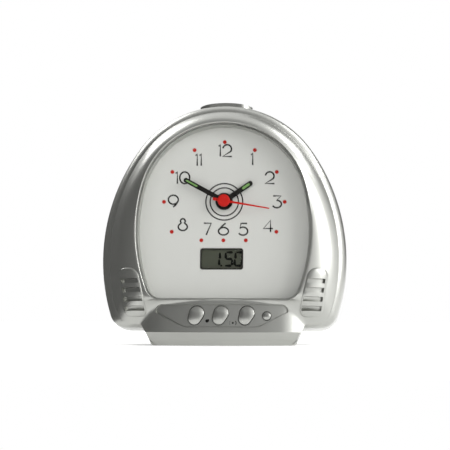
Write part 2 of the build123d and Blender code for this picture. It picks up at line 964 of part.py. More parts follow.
def seconds_wheel():
    blank = wheel(centre_axis, seconds_teeth, fifth_module, 4, fifth_direction)
    leaves = pinion(centre_axis, pinion_leaves, third_module, 3, third_direction)
    arbor = at_axis(centre_axis, arbor_radius, dial_depth - seconds_hand_height - hand_thick, lid_inner() - seat_gap)
    pivot = at_axis(centre_axis, pivot_radius, lid_inner() - cut_overrun, lid_inner() + movement_wall / 2)
    return blank + leaves + arbor + pivot


def fifth_wheel():
    blank = wheel(fifth_axis, fifth_teeth, rotor_module, 5, rotor_direction)
    leaves = pinion(fifth_axis, pinion_leaves, fifth_module, 4, fifth_direction + 180)
    arbor = at_axis(fifth_axis, arbor_radius, bridge_near() + bridge_thick + seat_gap, lid_inner() - seat_gap)
    pivots = at_axis(fifth_axis, pivot_radius, bridge_near() + bridge_thick / 2, lid_inner() + movement_wall / 2)
    return blank + leaves + arbor + pivots


def magnet_near():
    return level(5) + wheel_thick + 2 * bridge_gap


def rotor():
    leaves = pinion(rotor_axis, pinion_leaves, rotor_module, 5, rotor_direction + 180)
    magnet = at_axis(rotor_axis, rotor_magnet_radius, magnet_near(), magnet_near() + rotor_magnet_thick)
    arbor = at_axis(rotor_axis, rotor_arbor_radius, bridge_near() + bridge_thick / 2, lid_inner() + movement_wall / 2)
    return leaves + magnet + arbor


def stem_far():
    return case_depth - knob_well_depth + stem_seat


def setting_stem():
    leaves = pinion(stem_axis, cannon_leaves, motion_module, 1, motion_direction + 180)
    shaft = at_axis(stem_axis, 2 * arbor_radius, plate_inner() + seat_gap, stem_far())
    pivot = at_axis(stem_axis, pivot_radius, plate_inner() - movement_wall / 2, plate_inner() + cut_overrun)
    return leaves + shaft + pivot


def setting_knob():
    far = case_depth - seat_gap
    near = far - knob_height
    points = []
    for step in range(2 * knob_ribs):
        reach = knob_radius - (knob_rib_deep if step % 2 else 0)
        points.append(polar(reach, step * 180 / knob_ribs))
    grip = slab(Pos(stem_axis[0], dial_centre + stem_axis[1]) * Polygon(*points, align=None), near, far)
    dish = at_axis(stem_axis, knob_radius - knob_wall, far - knob_wall, far + cut_overrun)
    bore = at_axis(stem_axis, 2 * arbor_radius + screw_play, near - cut_overrun, stem_far())
    return grip - dish - bore


def movement_front():
    split = movement_near() + movement_depth * movement_split_share
    body = slab(plan_outline(0), movement_near(), split)
    body = body - slab(plan_outline(-movement_wall), plate_inner(), split + cut_overrun)
    hub = at_axis(centre_axis, hub_radius, dial_depth - hub_reach, movement_near())
    post = at_axis(motion_axis, arbor_radius, plate_inner(), level(1) + wheel_thick)
    bores = [at_axis(centre_axis, hour_pipe_outer() + pivot_play, 0, plate_inner() + cut_overrun)]
    for axis in (third_axis, stem_axis):
        bores.append(at_axis(axis, pivot_radius + pivot_play, plate_inner() - movement_wall / 2, plate_inner()))
    tabs = movement_tabs(movement_near() + movement_tab_rise)
    return body + hub + tabs - bores + post


def movement_tabs(near):
    far = near + movement_wall
    tabs = []
    for x, z in movement_screw_places():
        lug = Pos(x, z) * Circle(small_screw_head_radius + screw_play)
        arm = Pos(x - math.copysign(small_screw_head_radius, x), z)
        lug = lug + arm * Rectangle(2 * small_screw_head_radius, 2 * small_screw_head_radius)
        tabs.append(slab(lug, near, far) - disc(small_screw_shank_radius + screw_play, x, z, near, far))
    return tabs


def movement_screw_places():
    reach = movement_right + chassis_boss_radius + seat_gap
    return [(-reach, dial_centre), (reach, dial_centre)]


def movement_back():
    split = movement_near() + movement_depth * movement_split_share
    body = slab(plan_outline(0), split, movement_far())
    body = body - slab(plan_outline(-movement_wall), split - cut_overrun, lid_inner())
    bores = [at_axis(stem_axis, 2 * arbor_radius + pivot_play, lid_inner() - cut_overrun, case_depth)]
    for axis in (centre_axis, fifth_axis):
        bores.append(at_axis(axis, pivot_radius + pivot_play, lid_inner(), lid_inner() + movement_wall / 2))
    bores.append(at_axis(rotor_axis, rotor_arbor_radius + pivot_play, lid_inner(), lid_inner() + movement_wall / 2))
    return body - bores


def train_bridge():
    far = bridge_near() + bridge_thick
    plate = slab(plan_outline(-movement_wall - seat_gap), bridge_near(), far)
    bores = [at_axis(centre_axis, arbor_radius + pivot_play, 0, case_depth)]
    bores.append(at_axis(third_axis, pivot_radius + pivot_play, bridge_near() - cut_overrun, far - bridge_thick / 2))
    bores.append(at_axis(fifth_axis, pivot_radius + pivot_play, far - bridge_thick / 2, far + cut_overrun))
    bores.append(at_axis(rotor_axis, rotor_arbor_radius + pivot_play, far - bridge_thick / 2, far + cut_overrun))
    bores.append(at_axis(stem_axis, 2 * arbor_radius + pivot_play, 0, case_depth))
    return plate - bores


# Motor: stator blades round the rotor, joined to the core of the coil
def arm(start, end, half_width):
    length = math.dist(start, end) + 2 * half_width
    middle = Pos((start[0] + end[0]) / 2, dial_centre + (start[1] + end[1]) / 2)
    return middle * Rectangle(length, 2 * half_width, rotation=direction_to(start, end))


def stator():
    near = magnet_near() + (rotor_magnet_thick - stator_thick) / 2
    bore = rotor_magnet_radius + stator_gap
    half = stator_arm_half_width
    corner = (coil_left, rotor_axis[1])
    shape = Pos(rotor_axis[0], dial_centre + rotor_axis[1]) * Circle(bore + stator_ring_wall)
    shape = shape + arm(rotor_axis, corner, half) + arm(corner, (coil_left, coil_level), half)
    shape = shape + arm(rotor_axis, (coil_right, coil_level), half)
    hole = Pos(rotor_axis[0], dial_centre + rotor_axis[1]) * Circle(bore)
    return slab(shape - hole, near, near + stator_thick)


def coil():
    # Flat core on the stator's front, with the winding and its two cheeks
    back = magnet_near() + (rotor_magnet_thick - stator_thick) / 2
    middle = back - coil_core_half_width
    core_plan = arm((coil_left, coil_level), (coil_right, coil_level), coil_core_half_width)
    core = slab(core_plan, back - 2 * coil_core_half_width, back)
    left = coil_left + 2 * coil_flange_radius
    right = coil_right - 2 * coil_flange_radius
    spool = along_x(left, right, coil_level, middle, coil_radius)
    cheeks = [along_x(left, left + coil_flange_thick, coil_level, middle, coil_flange_radius),
              along_x(right - coil_flange_thick, right, coil_level, middle, coil_flange_radius)]
    return core + spool + cheeks


def along_x(left, right, height, depth, radius):
    plane = Plane(origin=(left, depth, dial_centre + height), x_dir=(0, 1, 0), z_dir=(1, 0, 0))
    return extrude(plane * Circle(radius), amount=right - left)


def movement_board():
    # Small circuit board on the bridge, with its crystal
    near = bridge_near() + bridge_thick
    left = movement_left + movement_corner
    right = third_axis[0] + third_module * 2
    low = movement_low + movement_corner
    high = -third_module * seconds_teeth / 2
    shape = Pos((left + right) / 2, dial_centre + (low + high) / 2) * Rectangle(right - left, high - low)
    board = slab(shape, near, near + bridge_thick)
    return board + along_x(left + crystal_radius, left + crystal_radius + crystal_length, low + 2 * crystal_radius,
                           near + bridge_thick + crystal_radius * crystal_seat_share, crystal_radius)


# Front buttons, the rubber mat behind them and its board
def plunger_end():
    return key_mat_depth - key_dome_height - button_travel - seat_gap


def front_button(x, z, shape, flange_shape, proud, reach, dome):
    floor_depth = panel_deep + bow_depth(x)
    apex = floor_depth - proud
    flange_near = panel_deep + panel_wall + bow_depth(abs(x) + reach) + seat_gap
    cap = slab(Pos(x, z) * shape, apex, flange_near + button_flange_thick)
    cap = cap & Pos(x, apex + dome, z) * Sphere(dome)
    flange = slab(Pos(x, z) * flange_shape, flange_near, flange_near + button_flange_thick)
    plunger = disc(button_plunger_radius, x, z, flange_near, plunger_end())
    return cap + flange + plunger


def egg_button(index):
    reach = button_upper_radius + button_lean + button_flange
    return front_button(button_places[index], button_level, button_outline(0), button_outline(button_flange),
                        button_proud, reach, button_dome_radius)


def chime_button():
    radius = small_button_radius
    return front_button(small_button_place, small_button_level, Circle(radius), Circle(radius + button_flange),
                        small_button_proud, radius + button_flange, 2 * radius)


def key_places():
    return [(x, button_level) for x in button_places] + [(small_button_place, small_button_level)]


def key_plan():
    width = key_board_right - key_board_left
    height = key_board_high - key_board_low
    return Pos(key_board_left + width / 2, key_board_low + height / 2) * RectangleRounded(width, height, key_post_radius)


def key_posts():
    return [disc(key_post_radius, x, z, bow_depth(x) + panel_deep + panel_wall / 2, key_mat_depth + key_mat_thick)
            for x, z in key_post_places]


def key_bores():
    near = key_mat_depth + key_mat_thick + key_board_thick - small_screw_length
    return [disc(small_screw_shank_radius + screw_play, x, z, near, case_depth) for x, z in key_post_places]


def key_mat():
    mat = slab(key_plan(), key_mat_depth, key_mat_depth + key_mat_thick)
    mat = mat + [disc(key_dome_radius, x, z, key_mat_depth - key_dome_height, key_mat_depth) for x, z in key_places()]
    return mat - [disc(key_post_radius + seat_gap, x, z, 0, case_depth) for x, z in key_post_places]


def key_board():
    near = key_mat_depth + key_mat_thick
    return slab(key_plan(), near, near + key_board_thick) - key_bores()


# Crown button, with the switch under it and the switch's board
def talk_plan(grow):
    return SlotOverall(2 * (talk_half_width + grow), 2 * (talk_half_depth + grow))


def upright(shape, low, high):
    return Pos(0, talk_centre_depth, low) * extrude(shape, amount=high - low)


def crown_cylinder(grow):
    centre = case_crown - crown_radius
    body = Cylinder(crown_radius + grow, case_depth, rotation=(90, 0, 0))
    return Pos(0, talk_centre_depth, centre) * body


def talk_button():
    low = talk_board_level + talk_board_thick + switch_height + switch_cap_height + talk_travel + seat_gap
    high = case_crown + 2 * talk_proud
    under = case_wall + talk_seat_drop + 2 * seat_gap
    cap = upright(talk_plan(0), talk_board_level, high) & crown_cylinder(talk_proud)
    cap = cap - crown_cylinder(-under - talk_flange_thick)
    flange = upright(talk_plan(talk_flange), talk_board_level, high) & crown_cylinder(-under)
    flange = flange - crown_cylinder(-under - talk_flange_thick)
    plunger = upright(Circle(talk_plunger_radius), low, case_crown - case_wall - talk_flange_thick / 2)
    return cap + flange + plunger


def talk_switch():
    low = talk_board_level + talk_board_thick
    body = upright(Rectangle(switch_side, switch_side), low, low + switch_height)
    return body + upright(Circle(switch_cap_radius), low, low + switch_height + switch_cap_height)


def talk_board():
    shape = Rectangle(2 * talk_board_half_width, 2 * talk_board_half_depth)
    return upright(shape, talk_board_level, talk_board_level + talk_board_thick)


def board_guides():
    # Two grooved rails that the switch board slides into
    rails = []
    near = talk_centre_depth - talk_board_half_depth - seat_gap
    groove_low = talk_board_level - seat_gap
    groove_high = talk_board_level + talk_board_thick + seat_gap
    for side in (-1, 1):
        inner = side * (talk_board_half_width - guide_hold)
        outer = side * (talk_board_half_width + guide_wall)
        shape = Pos((inner + outer) / 2, (groove_low + groove_high) / 2) * Rectangle(
            abs(outer - inner), groove_high - groove_low + 2 * guide_wall)
        hollow = Pos(0, (groove_low + groove_high) / 2) * Rectangle(
            2 * (talk_board_half_width + seat_gap), groove_high - groove_low)
        rail = slab(shape, near, case_depth - case_wall / 2)
        groove = slab(hollow, near - cut_overrun, talk_centre_depth + talk_board_half_depth + seat_gap)
        rails.append(rail - groove)
    return rails


# Speaker
def turned(points, x, z):
    profile = make_face(Polyline(*points, close=True))
    return Pos(x, 0, z) * revolve(profile, Axis.Y)


def speaker_seat():
    return case_depth - case_wall


def speaker_frame():
    seat = speaker_seat()
    front = seat - speaker_depth
    inner = speaker_radius - 2 * speaker_rim
    neck = speaker_magnet_radius + speaker_rim
    points = [(speaker_radius - speaker_rim, seat), (speaker_radius, seat), (speaker_radius, seat - speaker_rim),
              (inner, seat - speaker_rim), (neck, front), (speaker_magnet_radius / 2, front),
              (speaker_magnet_radius / 2, front + speaker_rim / 2), (neck - speaker_rim / 2, front + speaker_rim / 2),
              (inner, seat - speaker_cone_wall), (speaker_radius - speaker_rim, seat - speaker_cone_wall)]
    return turned(points, 0, speaker_level)


def speaker_cone():
    seat = speaker_seat()
    rim = speaker_radius - speaker_rim - seat_gap
    deep = seat - speaker_depth + 2 * speaker_rim
    points = [(0, deep), (0, deep - speaker_cone_wall), (speaker_magnet_radius / 2, deep - speaker_cone_wall),
              (rim - speaker_rim, seat - speaker_cone_wall), (rim, seat - speaker_cone_wall), (rim, seat),
              (rim - speaker_rim, seat), (speaker_magnet_radius / 2, deep)]
    return turned(points, 0, speaker_level)


def speaker_magnet():
    front = speaker_seat() - speaker_depth
    return disc(speaker_magnet_radius, 0, speaker_level, front - speaker_magnet_thick, front)


def speaker_screw_places():
    reach = speaker_radius + chassis_boss_radius + 2 * seat_gap
    return [(-reach, speaker_level), (reach, speaker_level)]


def speaker_clamp():
    far = speaker_seat() - speaker_rim
    near = far - speaker_clamp_wall
    shape = Pos(0, speaker_level) * Circle(speaker_radius)
    for x, z in speaker_screw_places():
        shape = shape + Pos(x, z) * Circle(small_screw_head_radius + screw_play)
        arm_middle = Pos(x - math.copysign(chassis_boss_radius, x), z)
        shape = shape + arm_middle * Rectangle(2 * chassis_boss_radius, 2 * small_screw_head_radius)
    shape = shape - Pos(0, speaker_level) * Circle(speaker_radius - speaker_rim)
    return slab(shape, near, far) - speaker_bores()


def speaker_posts():
    far = speaker_seat()
    return [disc(chassis_boss_radius, x, z, far - speaker_rim, far + case_wall / 2) for x, z in speaker_screw_places()]


def speaker_bores():
    near = speaker_seat() - speaker_rim - speaker_clamp_wall
    return [disc(small_screw_shank_radius + screw_play, x, z, near - cut_overrun, near + small_screw_length)
            for x, z in speaker_screw_places()]


def grille():
    rings = Circle(grille_slot)
    for number in range(grille_rings):
        middle = grille_first_radius + number * grille_pitch
        ring = Circle(middle + grille_slot / 2) - Circle(middle - grille_slot / 2)
        turn = 90 / grille_bridges * number
        for spoke in range(grille_bridges // 2):
            bar = Rectangle(4 * speaker_radius, grille_bridge, rotation=turn + 180 * spoke * 2 / grille_bridges)
            ring = ring - bar
        rings = rings + ring
    return slab(Pos(0, speaker_level) * rings, speaker_seat() - seat_gap, case_depth + cut_overrun)


# Battery bay
bay_half_width = cell_length / 2 + cell_nub_length + bay_end_room
bay_height = 2 * cell_radius + cell_pitch + 2 * cell_play
bay_far = case_depth - door_thick
cell_depth = bay_far - cell_play - cell_radius
bay_near = cell_depth - cell_radius - cell_play
bay_middle = bay_bottom + bay_height / 2


def bay_plan(grow):
    return Pos(0, bay_middle) * Rectangle(2 * (bay_half_width + grow), bay_height + 2 * grow)


def bay_walls():
    return slab(bay_plan(bay_wall), bay_near - bay_wall, case_depth - case_wall / 2)


def bay_hollow():
    opening = Pos(0, bay_middle) * Rectangle(2 * (bay_half_width + door_ledge), bay_height + 2 * door_ledge)
    notch = Pos(0, bay_middle + bay_height / 2 + door_ledge) * Circle(door_notch_radius)
    pins = along_x(-door_half_width() - door_pin_length - seat_gap, door_half_width() + door_pin_length + seat_gap,
                   door_axis_height() - dial_centre, door_axis_depth(), door_pin_radius + door_pin_play)
    return [slab(bay_plan(0), bay_near, case_depth), slab(opening, bay_far, case_depth + cut_overrun),
            slab(notch, case_depth - door_thick / 2, case_depth + cut_overrun), pins]


def door_half_width():
    return bay_half_width + door_ledge - door_play


def door_axis_height():
    return bay_middle - bay_height / 2 - door_ledge + door_play + door_thick / 2


def door_axis_depth():
    return case_depth - door_thick / 2


def battery_door():
    low = door_axis_height()
    high = bay_middle + bay_height / 2 + door_ledge - door_play
    half = door_half_width()
    shape = Pos(0, (low + high) / 2) * Rectangle(2 * half, high - low)
    door = slab(shape, bay_far, case_depth)
    door = door + along_x(-half, half, low - dial_centre, door_axis_depth(), door_thick / 2)
    door = door + along_x(-half - door_pin_length, half + door_pin_length, low - dial_centre,
                          door_axis_depth(), door_pin_radius)
    for number in range(door_grip_slots):
        level_of = high - door_grip_pitch * (number + 2)
        slot = Pos(0, level_of) * SlotOverall(4 * door_notch_radius, door_grip_slot)
        door = door - slab(slot, case_depth - door_grip_deep, case_depth + cut_overrun)
    return door


def cell_level(index):
    return bay_middle + (cell_pitch / 2 if index == 0 else -cell_pitch / 2)


def battery_cell(index):
    side = 1 if index == 0 else -1
    tip = side * (bay_half_width - contact_thick)
    head = tip - side * cell_nub_length
    tail = head - side * cell_length
    height = cell_level(index) - dial_centre
    body = along_x(min(head, tail), max(head, tail), height, cell_depth, cell_radius)
    return body + along_x(min(head, tip), max(head, tip), height, cell_depth, cell_nub_radius)


def contacts():
    # A flat plate at each cap and a bent leaf at each base
    pieces = []
    for index in (0, 1):
        side = 1 if index == 0 else -1
        z = cell_level(index)
        half = contact_half_width
        wall_x = side * bay_half_width
        near = cell_depth - half
        plate = Pos(wall_x - side * contact_thick / 2, z) * Rectangle(contact_thick, 2 * half)
        pieces.append(slab(plate, near, near + 2 * half))
        base = -side * (bay_half_width - contact_thick)
        cell_end = side * (bay_half_width - contact_thick - cell_nub_length - cell_length)
        leaf = Polygon((-side * bay_half_width, z - half), (base, z - half), (cell_end, z), (base, z + half),
                       (-side * bay_half_width, z + half), (-side * bay_half_width, z + half - contact_thick),
                       (cell_end - side * contact_thick, z), (-side * bay_half_width, z - half + contact_thick),
                       align=None)
        pieces.append(slab(leaf, cell_depth - half / 2, cell_depth + half / 2))
    return Part() + pieces


# Rear shell
def tunnel(x, z):
    near = boss_end_depth + 2 * seat_gap
    tube = disc(screw_head_radius + 2 * seat_gap + tunnel_wall, x, z, near, case_depth)
    return tube & tail_solid(0)


def tunnel_bores():
    bores = []
    seat = boss_end_depth + 2 * seat_gap + tunnel_floor
    for x, z in case_screw_places:
        bores.append(disc(screw_head_radius + 2 * seat_gap, x, z, seat, case_depth + cut_overrun))
        bores.append(disc(screw_shank_radius + 2 * seat_gap, x, z, 0, seat + cut_overrun))
        bores.append(disc(boss_radius + 2 * seat_gap, x, z, 0, boss_end_depth + 2 * seat_gap))
    return bores


def knob_well():
    return at_axis(stem_axis, knob_well_radius + bay_wall, case_depth - knob_well_depth - bay_wall,
                   case_depth - case_wall / 2)


def knob_bores():
    return [at_axis(stem_axis, knob_well_radius, case_depth - knob_well_depth, case_depth + cut_overrun),
            at_axis(stem_axis, 2 * arbor_radius + 2 * seat_gap, 0, case_depth)]


def lip_rebate():
    outer = slab(outline(inset(crease_size, case_wall - lip_thick - seat_gap)), crease_depth - cut_overrun,
                 crease_depth + lip_reach + seat_gap)
    return outer


def behind_crease():
    span = 4 * case_half_width
    return lean(Pos(0, crease_depth + span / 2, 0) * Box(span, span, span))


def rear_shell():
    shell = band_solid(0) + tail_solid(0) - band_solid(case_wall) - tail_solid(case_wall) - lip_rebate()
    shell = shell + [tunnel(x, z) for x, z in case_screw_places]
    shell = shell + [bay_walls(), knob_well(), *board_guides(), *speaker_posts()]
    shell = shell - [*bay_hollow(), *knob_bores(), *tunnel_bores(), *speaker_bores(), grille()]
    opening = upright(talk_plan(talk_gap), case_crown - 2 * case_corner, case_crown + case_corner)
    shell = lean(shell - opening)
    down, up = foot_solid(0)
    hollow_down, hollow_up = foot_solid(case_wall)
    foot = (down + (up & under_case())) & behind_crease()
    return shell - hollow_up + foot - hollow_down - hollow_up


def under_case():
    return lean(tail_solid(0) + band_solid(0) + slab(outline(case_size), 0, case_depth))


# Screws
def screw(x, z, seat, shank, length, head, head_thick):
    # Seated at its depth and pointing to the front, with a cross recess in its head
    body = disc(shank, x, z, seat - length, seat)
    top = disc(head, x, z, seat, seat + head_thick)
    slot = Pos(x, z) * (Rectangle(2 * head * drive_share, head * drive_share / 2)
                        + Rectangle(head * drive_share / 2, 2 * head * drive_share))
    return body + top - slab(slot, seat + head_thick / 2, seat + head_thick + cut_overrun)


def case_screws():
    seat = boss_end_depth + 2 * seat_gap + tunnel_floor
    return Part() + [screw(x, z, seat, screw_shank_radius, screw_length, screw_head_radius, screw_head_thick)
                     for x, z in case_screw_places]


def small_screw(x, z, seat):
    return screw(x, z, seat, small_screw_shank_radius, small_screw_length, small_screw_head_radius,
                 small_screw_head_thick)


def small_screws():
    chassis_back = dial_depth + dial_thick + chassis_thick
    tab_back = movement_near() + movement_tab_rise + movement_wall
    group = [small_screw(x, z, chassis_back) for x, z in chassis_screw_places]
    group += [small_screw(x, z, tab_back) for x, z in movement_screw_places()]
    group += [small_screw(x, z, main_board_depth + main_board_thick) for x, z in board_screw_places()]
    group += [small_screw(x, z, key_mat_depth + key_mat_thick + key_board_thick) for x, z in key_post_places]
    clamp_front = speaker_seat() - speaker_rim - speaker_clamp_wall
    for x, z in speaker_screw_places():
        group.append(Pos(0, 2 * clamp_front, 0) * mirror(small_screw(x, z, clamp_front), Plane.XZ))
    return Part() + group


# Parts on the main board
def voice_chip():
    near = main_board_depth + main_board_thick
    block = slab(Pos(*chip_place) * Rectangle(chip_side, chip_side), near, near + chip_thick)
    return chamfer(block.faces().sort_by(Axis.Y)[-1].edges(), chip_bevel)


def capacitor():
    near = main_board_depth + main_board_thick
    can = disc(capacitor_radius, *capacitor_place, near, near + capacitor_height)
    return fillet(can.faces().sort_by(Axis.Y)[-1].edges(), capacitor_radius * capacitor_round_share)


def build():
    pieces = dict(
        front_shell=front_shell(), rear_shell=rear_shell(),
        lens=lean(lens()), dial_plate=lean(dial_plate()), chassis=lean(chassis()),
        display_frame=lean(display_frame()), display_glass=lean(display_glass()),
        contact_strips=lean(Part() + contact_strips()), main_board=lean(main_board()),
        voice_chip=lean(voice_chip()), capacitor=lean(capacitor()),
        hour_hand=lean(hour_hand()), minute_hand=lean(minute_hand()), seconds_hand=lean(seconds_hand()),
        hour_lume=lean(lume(hour_lume_from, hour_lume_to, hour_hand_half_width - lume_inset,
                            hour_hand_height, hour_hand_angle)),
        minute_lume=lean(lume(minute_lume_from, minute_lume_to, minute_hand_half_width - lume_inset,
                              minute_hand_height, minute_hand_angle)),
        movement_front=lean(movement_front()), movement_back=lean(movement_back()),
        train_bridge=lean(train_bridge()), movement_board=lean(movement_board()),
        hour_wheel=lean(hour_wheel()), motion_wheel=lean(motion_wheel()), centre_wheel=lean(centre_wheel()),
        third_wheel=lean(third_wheel()), seconds_wheel=lean(seconds_wheel()), fifth_wheel=lean(fifth_wheel()),
        rotor=lean(rotor()), stator=lean(stator()), coil=lean(coil()),
        setting_stem=lean(setting_stem()), setting_knob=lean(setting_knob()),
        chime_button=lean(chime_button()), key_mat=lean(key_mat()), key_board=lean(key_board()),
        talk_button=lean(talk_button()), talk_switch=lean(talk_switch()), talk_board=lean(talk_board()),
        speaker_frame=lean(speaker_frame()), speaker_cone=lean(speaker_cone()),
        speaker_magnet=lean(speaker_magnet()), speaker_clamp=lean(speaker_clamp()),
        battery_door=lean(battery_door()), battery_contacts=lean(contacts()),
        case_screws=lean(case_screws()), small_screws=lean(small_screws()),
    )
    for index, name in enumerate(button_names):
        pieces[name] = lean(egg_button(index))
    for index in (0, 1):
        pieces[f"battery_cell_{index + 1}"] = lean(battery_cell(index))
    return pieces


def main():
    os.makedirs("parts", exist_ok=True)
    for name, shape in build().items():
        export_step(shape, f"parts/{name}.step")


if __name__ == "__main__":
    main()
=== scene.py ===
import math

import bmesh
import bpy
from mathutils import Matrix, Vector
from mathutils.bvhtree import BVHTree


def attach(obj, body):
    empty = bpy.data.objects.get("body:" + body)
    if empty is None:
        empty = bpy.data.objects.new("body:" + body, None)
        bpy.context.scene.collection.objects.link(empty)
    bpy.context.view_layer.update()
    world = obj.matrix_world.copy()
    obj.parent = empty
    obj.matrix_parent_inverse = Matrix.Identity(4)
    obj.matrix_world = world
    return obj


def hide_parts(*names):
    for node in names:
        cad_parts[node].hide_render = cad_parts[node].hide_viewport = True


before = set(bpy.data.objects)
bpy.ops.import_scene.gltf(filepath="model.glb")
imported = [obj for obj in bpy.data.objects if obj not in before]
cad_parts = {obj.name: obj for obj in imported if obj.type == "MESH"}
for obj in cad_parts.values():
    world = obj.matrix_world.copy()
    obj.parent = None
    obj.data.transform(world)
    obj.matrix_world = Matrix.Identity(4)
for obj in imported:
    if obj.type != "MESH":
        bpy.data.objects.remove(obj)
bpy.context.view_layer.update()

# The clock's visible skins, dial printing and finishes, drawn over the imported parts.
# Sizes are in millimetres and angles in degrees, in the face's own frame: x to the right, depth (y) behind
# the bezel's rim, height (z) up along the face, which leans back. faceToFrame turns them into the shared
# frame's metres.
mm = 0.001
case = {"lean": 8, "rimReach": 21.9, "wall": 2.2, "creaseDepth": 9.0, "seamGap": 0.1}
# An outline's half width, crown height, how much smaller the crown's radius is than the half width, height
# of the widest place, height of the bottom line and corner radius
creaseOutline = {"half": 58.7, "crown": 122.2, "shoulder": 8.3, "widest": 46.0, "bottom": 12.1, "corner": 9.0}
windowOutline = {"half": 45.2, "crown": 115.6, "shoulder": 1.7, "widest": 60.0, "bottom": 23.5, "corner": 8.0}
mergeReach = 0.003  # points nearer than this are one point
longWay = 60.0  # past the back of everything that is cut
cutStart = -5.0  # ahead of the whole face
quarterSteps = 3  # flats in a rounded edge's quarter turn
sharpEdge = 32  # edges that turn further than this stay sharp

leanSine = math.sin(math.radians(case["lean"]))
leanCosine = math.cos(math.radians(case["lean"]))
leanMatrix = (Matrix.Translation((0, -case["rimReach"], 0))
              @ Matrix.Rotation(math.radians(-case["lean"]), 4, "X"))
faceToFrame = Matrix.Scale(mm, 4) @ leanMatrix


def inset(size, by):
    # An outline drawn in by a distance all round
    return {**size, "half": size["half"] - by, "crown": size["crown"] - by,
            "bottom": size["bottom"] + by, "corner": size["corner"] - by}


def between(first, second, share):
    # An outline part of the way from one to another
    return {key: first[key] + (second[key] - first[key]) * share for key in first}


# Where each stretch of a half outline ends, as a share of the way from the middle of the bottom to the
# crown, and how much of the bottom line the chin takes
stretch = {"chin": 0.18, "bottom": 0.21, "corner": 0.33, "flank": 0.68}
chinAlong = 0.9


def outlinePoint(size, share):
    # A point of an outline: bottom line, corner arc, flank arc and crown arc, mirrored for negative shares
    side = -1 if share < 0 else 1
    share = abs(share)
    crown = size["half"] - size["shoulder"]
    crownCentre = size["crown"] - crown
    rise = crownCentre - size["widest"]
    flank = (size["half"] ** 2 + rise ** 2 - crown ** 2) / (2 * size["shoulder"])
    flankX = size["half"] - flank
    join = math.atan2(rise, -flankX)
    cornerZ = size["bottom"] + size["corner"]
    turn = math.asin((size["widest"] - cornerZ) / (flank - size["corner"]))
    cornerX = flankX + (flank - size["corner"]) * math.cos(turn)

    def along(start, end, first, second):
        return first + (second - first) * (share - start) / (end - start)

    if share <= stretch["chin"]:
        return side * cornerX * along(0, stretch["chin"], 0, chinAlong), size["bottom"]
    if share <= stretch["bottom"]:
        return side * cornerX * along(stretch["chin"], stretch["bottom"], chinAlong, 1), size["bottom"]
    if share <= stretch["corner"]:
        centreX, centreZ, radius = cornerX, cornerZ, size["corner"]
        angle = along(stretch["bottom"], stretch["corner"], -math.pi / 2, -turn)
    elif share <= stretch["flank"]:
        centreX, centreZ, radius = flankX, size["widest"], flank
        angle = along(stretch["corner"], stretch["flank"], -turn, join)
    else:
        centreX, centreZ, radius = 0, crownCentre, crown
        angle = along(stretch["flank"], 1, join, math.pi / 2)
    return side * (centreX + radius * math.cos(angle)), centreZ + radius * math.sin(angle)


def mappedGrid(columns, rows, place):
    # A grid whose points are moved to where place puts them, closed where its edges meet
    bm = bmesh.new()
    bmesh.ops.create_grid(bm, x_segments=columns, y_segments=rows, size=0.5)
    for vert in bm.verts:
        vert.co = place(vert.co.x + 0.5, round((vert.co.y + 0.5) * rows))
    bmesh.ops.remove_doubles(bm, verts=bm.verts, dist=mergeReach)
    bmesh.ops.recalc_face_normals(bm, faces=bm.faces)
    return bm


def toObject(bm, name, place=faceToFrame):
    # Turns a finished bmesh into an object at the origin, smooth but for its sharp edges
    bm.transform(place)
    for face in bm.faces:
        face.smooth = True
    for edge in bm.edges:
        edge.smooth = edge.calc_face_angle(0) < math.radians(sharpEdge)
    mesh = bpy.data.meshes.new(name)
    bm.to_mesh(mesh)
    bm.free()
    made = bpy.data.objects.new(name, mesh)
    bpy.context.scene.collection.objects.link(made)
    return made


def joined(parts):
    # One bmesh that holds all the parts
    whole = bmesh.new()
    for part in parts:
        carrier = bpy.data.meshes.new("carrier")
        part.to_mesh(carrier)
        part.free()
        whole.from_mesh(carrier)
        bpy.data.meshes.remove(carrier)
    return whole


def combine(bm, other, operation):
    # The boolean of two closed shapes, as a new bmesh; both are used up
    pair = []
    for shape in (bm, other):
        mesh = bpy.data.meshes.new("shape")
        shape.to_mesh(mesh)
        shape.free()
        holder = bpy.data.objects.new("shape", mesh)
        bpy.context.scene.collection.objects.link(holder)
        pair.append(holder)
    boolean = pair[0].modifiers.new("boolean", "BOOLEAN")
    boolean.object = pair[1]
    boolean.operation = operation
    boolean.solver = "EXACT"
    result = bmesh.new()
    result.from_object(pair[0], bpy.context.evaluated_depsgraph_get())
    bmesh.ops.remove_doubles(result, verts=result.verts, dist=mergeReach)
    bmesh.ops.dissolve_degenerate(result, edges=result.edges, dist=mergeReach)
    for holder in pair:
        mesh = holder.data
        bpy.data.objects.remove(holder)
        bpy.data.meshes.remove(mesh)
    return result


def movedAlong(bm, extruded, reach):
    # Moves the new points of an extrusion along the depth
    bmesh.ops.translate(bm, vec=(0, reach, 0),
                        verts=[item for item in extruded["geom"] if isinstance(item, bmesh.types.BMVert)])


def closeUp(bm):
    # Fills the open ends of a shape and turns its faces outwards
    bmesh.ops.holes_fill(bm, edges=[edge for edge in bm.edges if edge.is_boundary], sides=0)
    bmesh.ops.recalc_face_normals(bm, faces=bm.faces)


def packedCopy(node):
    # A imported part's own mesh, its loose triangles merged, in the shared frame
    copy = bmesh.new()
    copy.from_mesh(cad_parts[node].data)
    bmesh.ops.remove_doubles(copy, verts=copy.verts, dist=mergeReach * mm)
    return copy


def mirrored(bm):
    # A copy of a shape on the other side of the middle
    twin = bm.copy()
    twin.transform(Matrix.Scale(-1, 4, (1, 0, 0)))
    bmesh.ops.reverse_faces(twin, faces=twin.faces)
    return twin


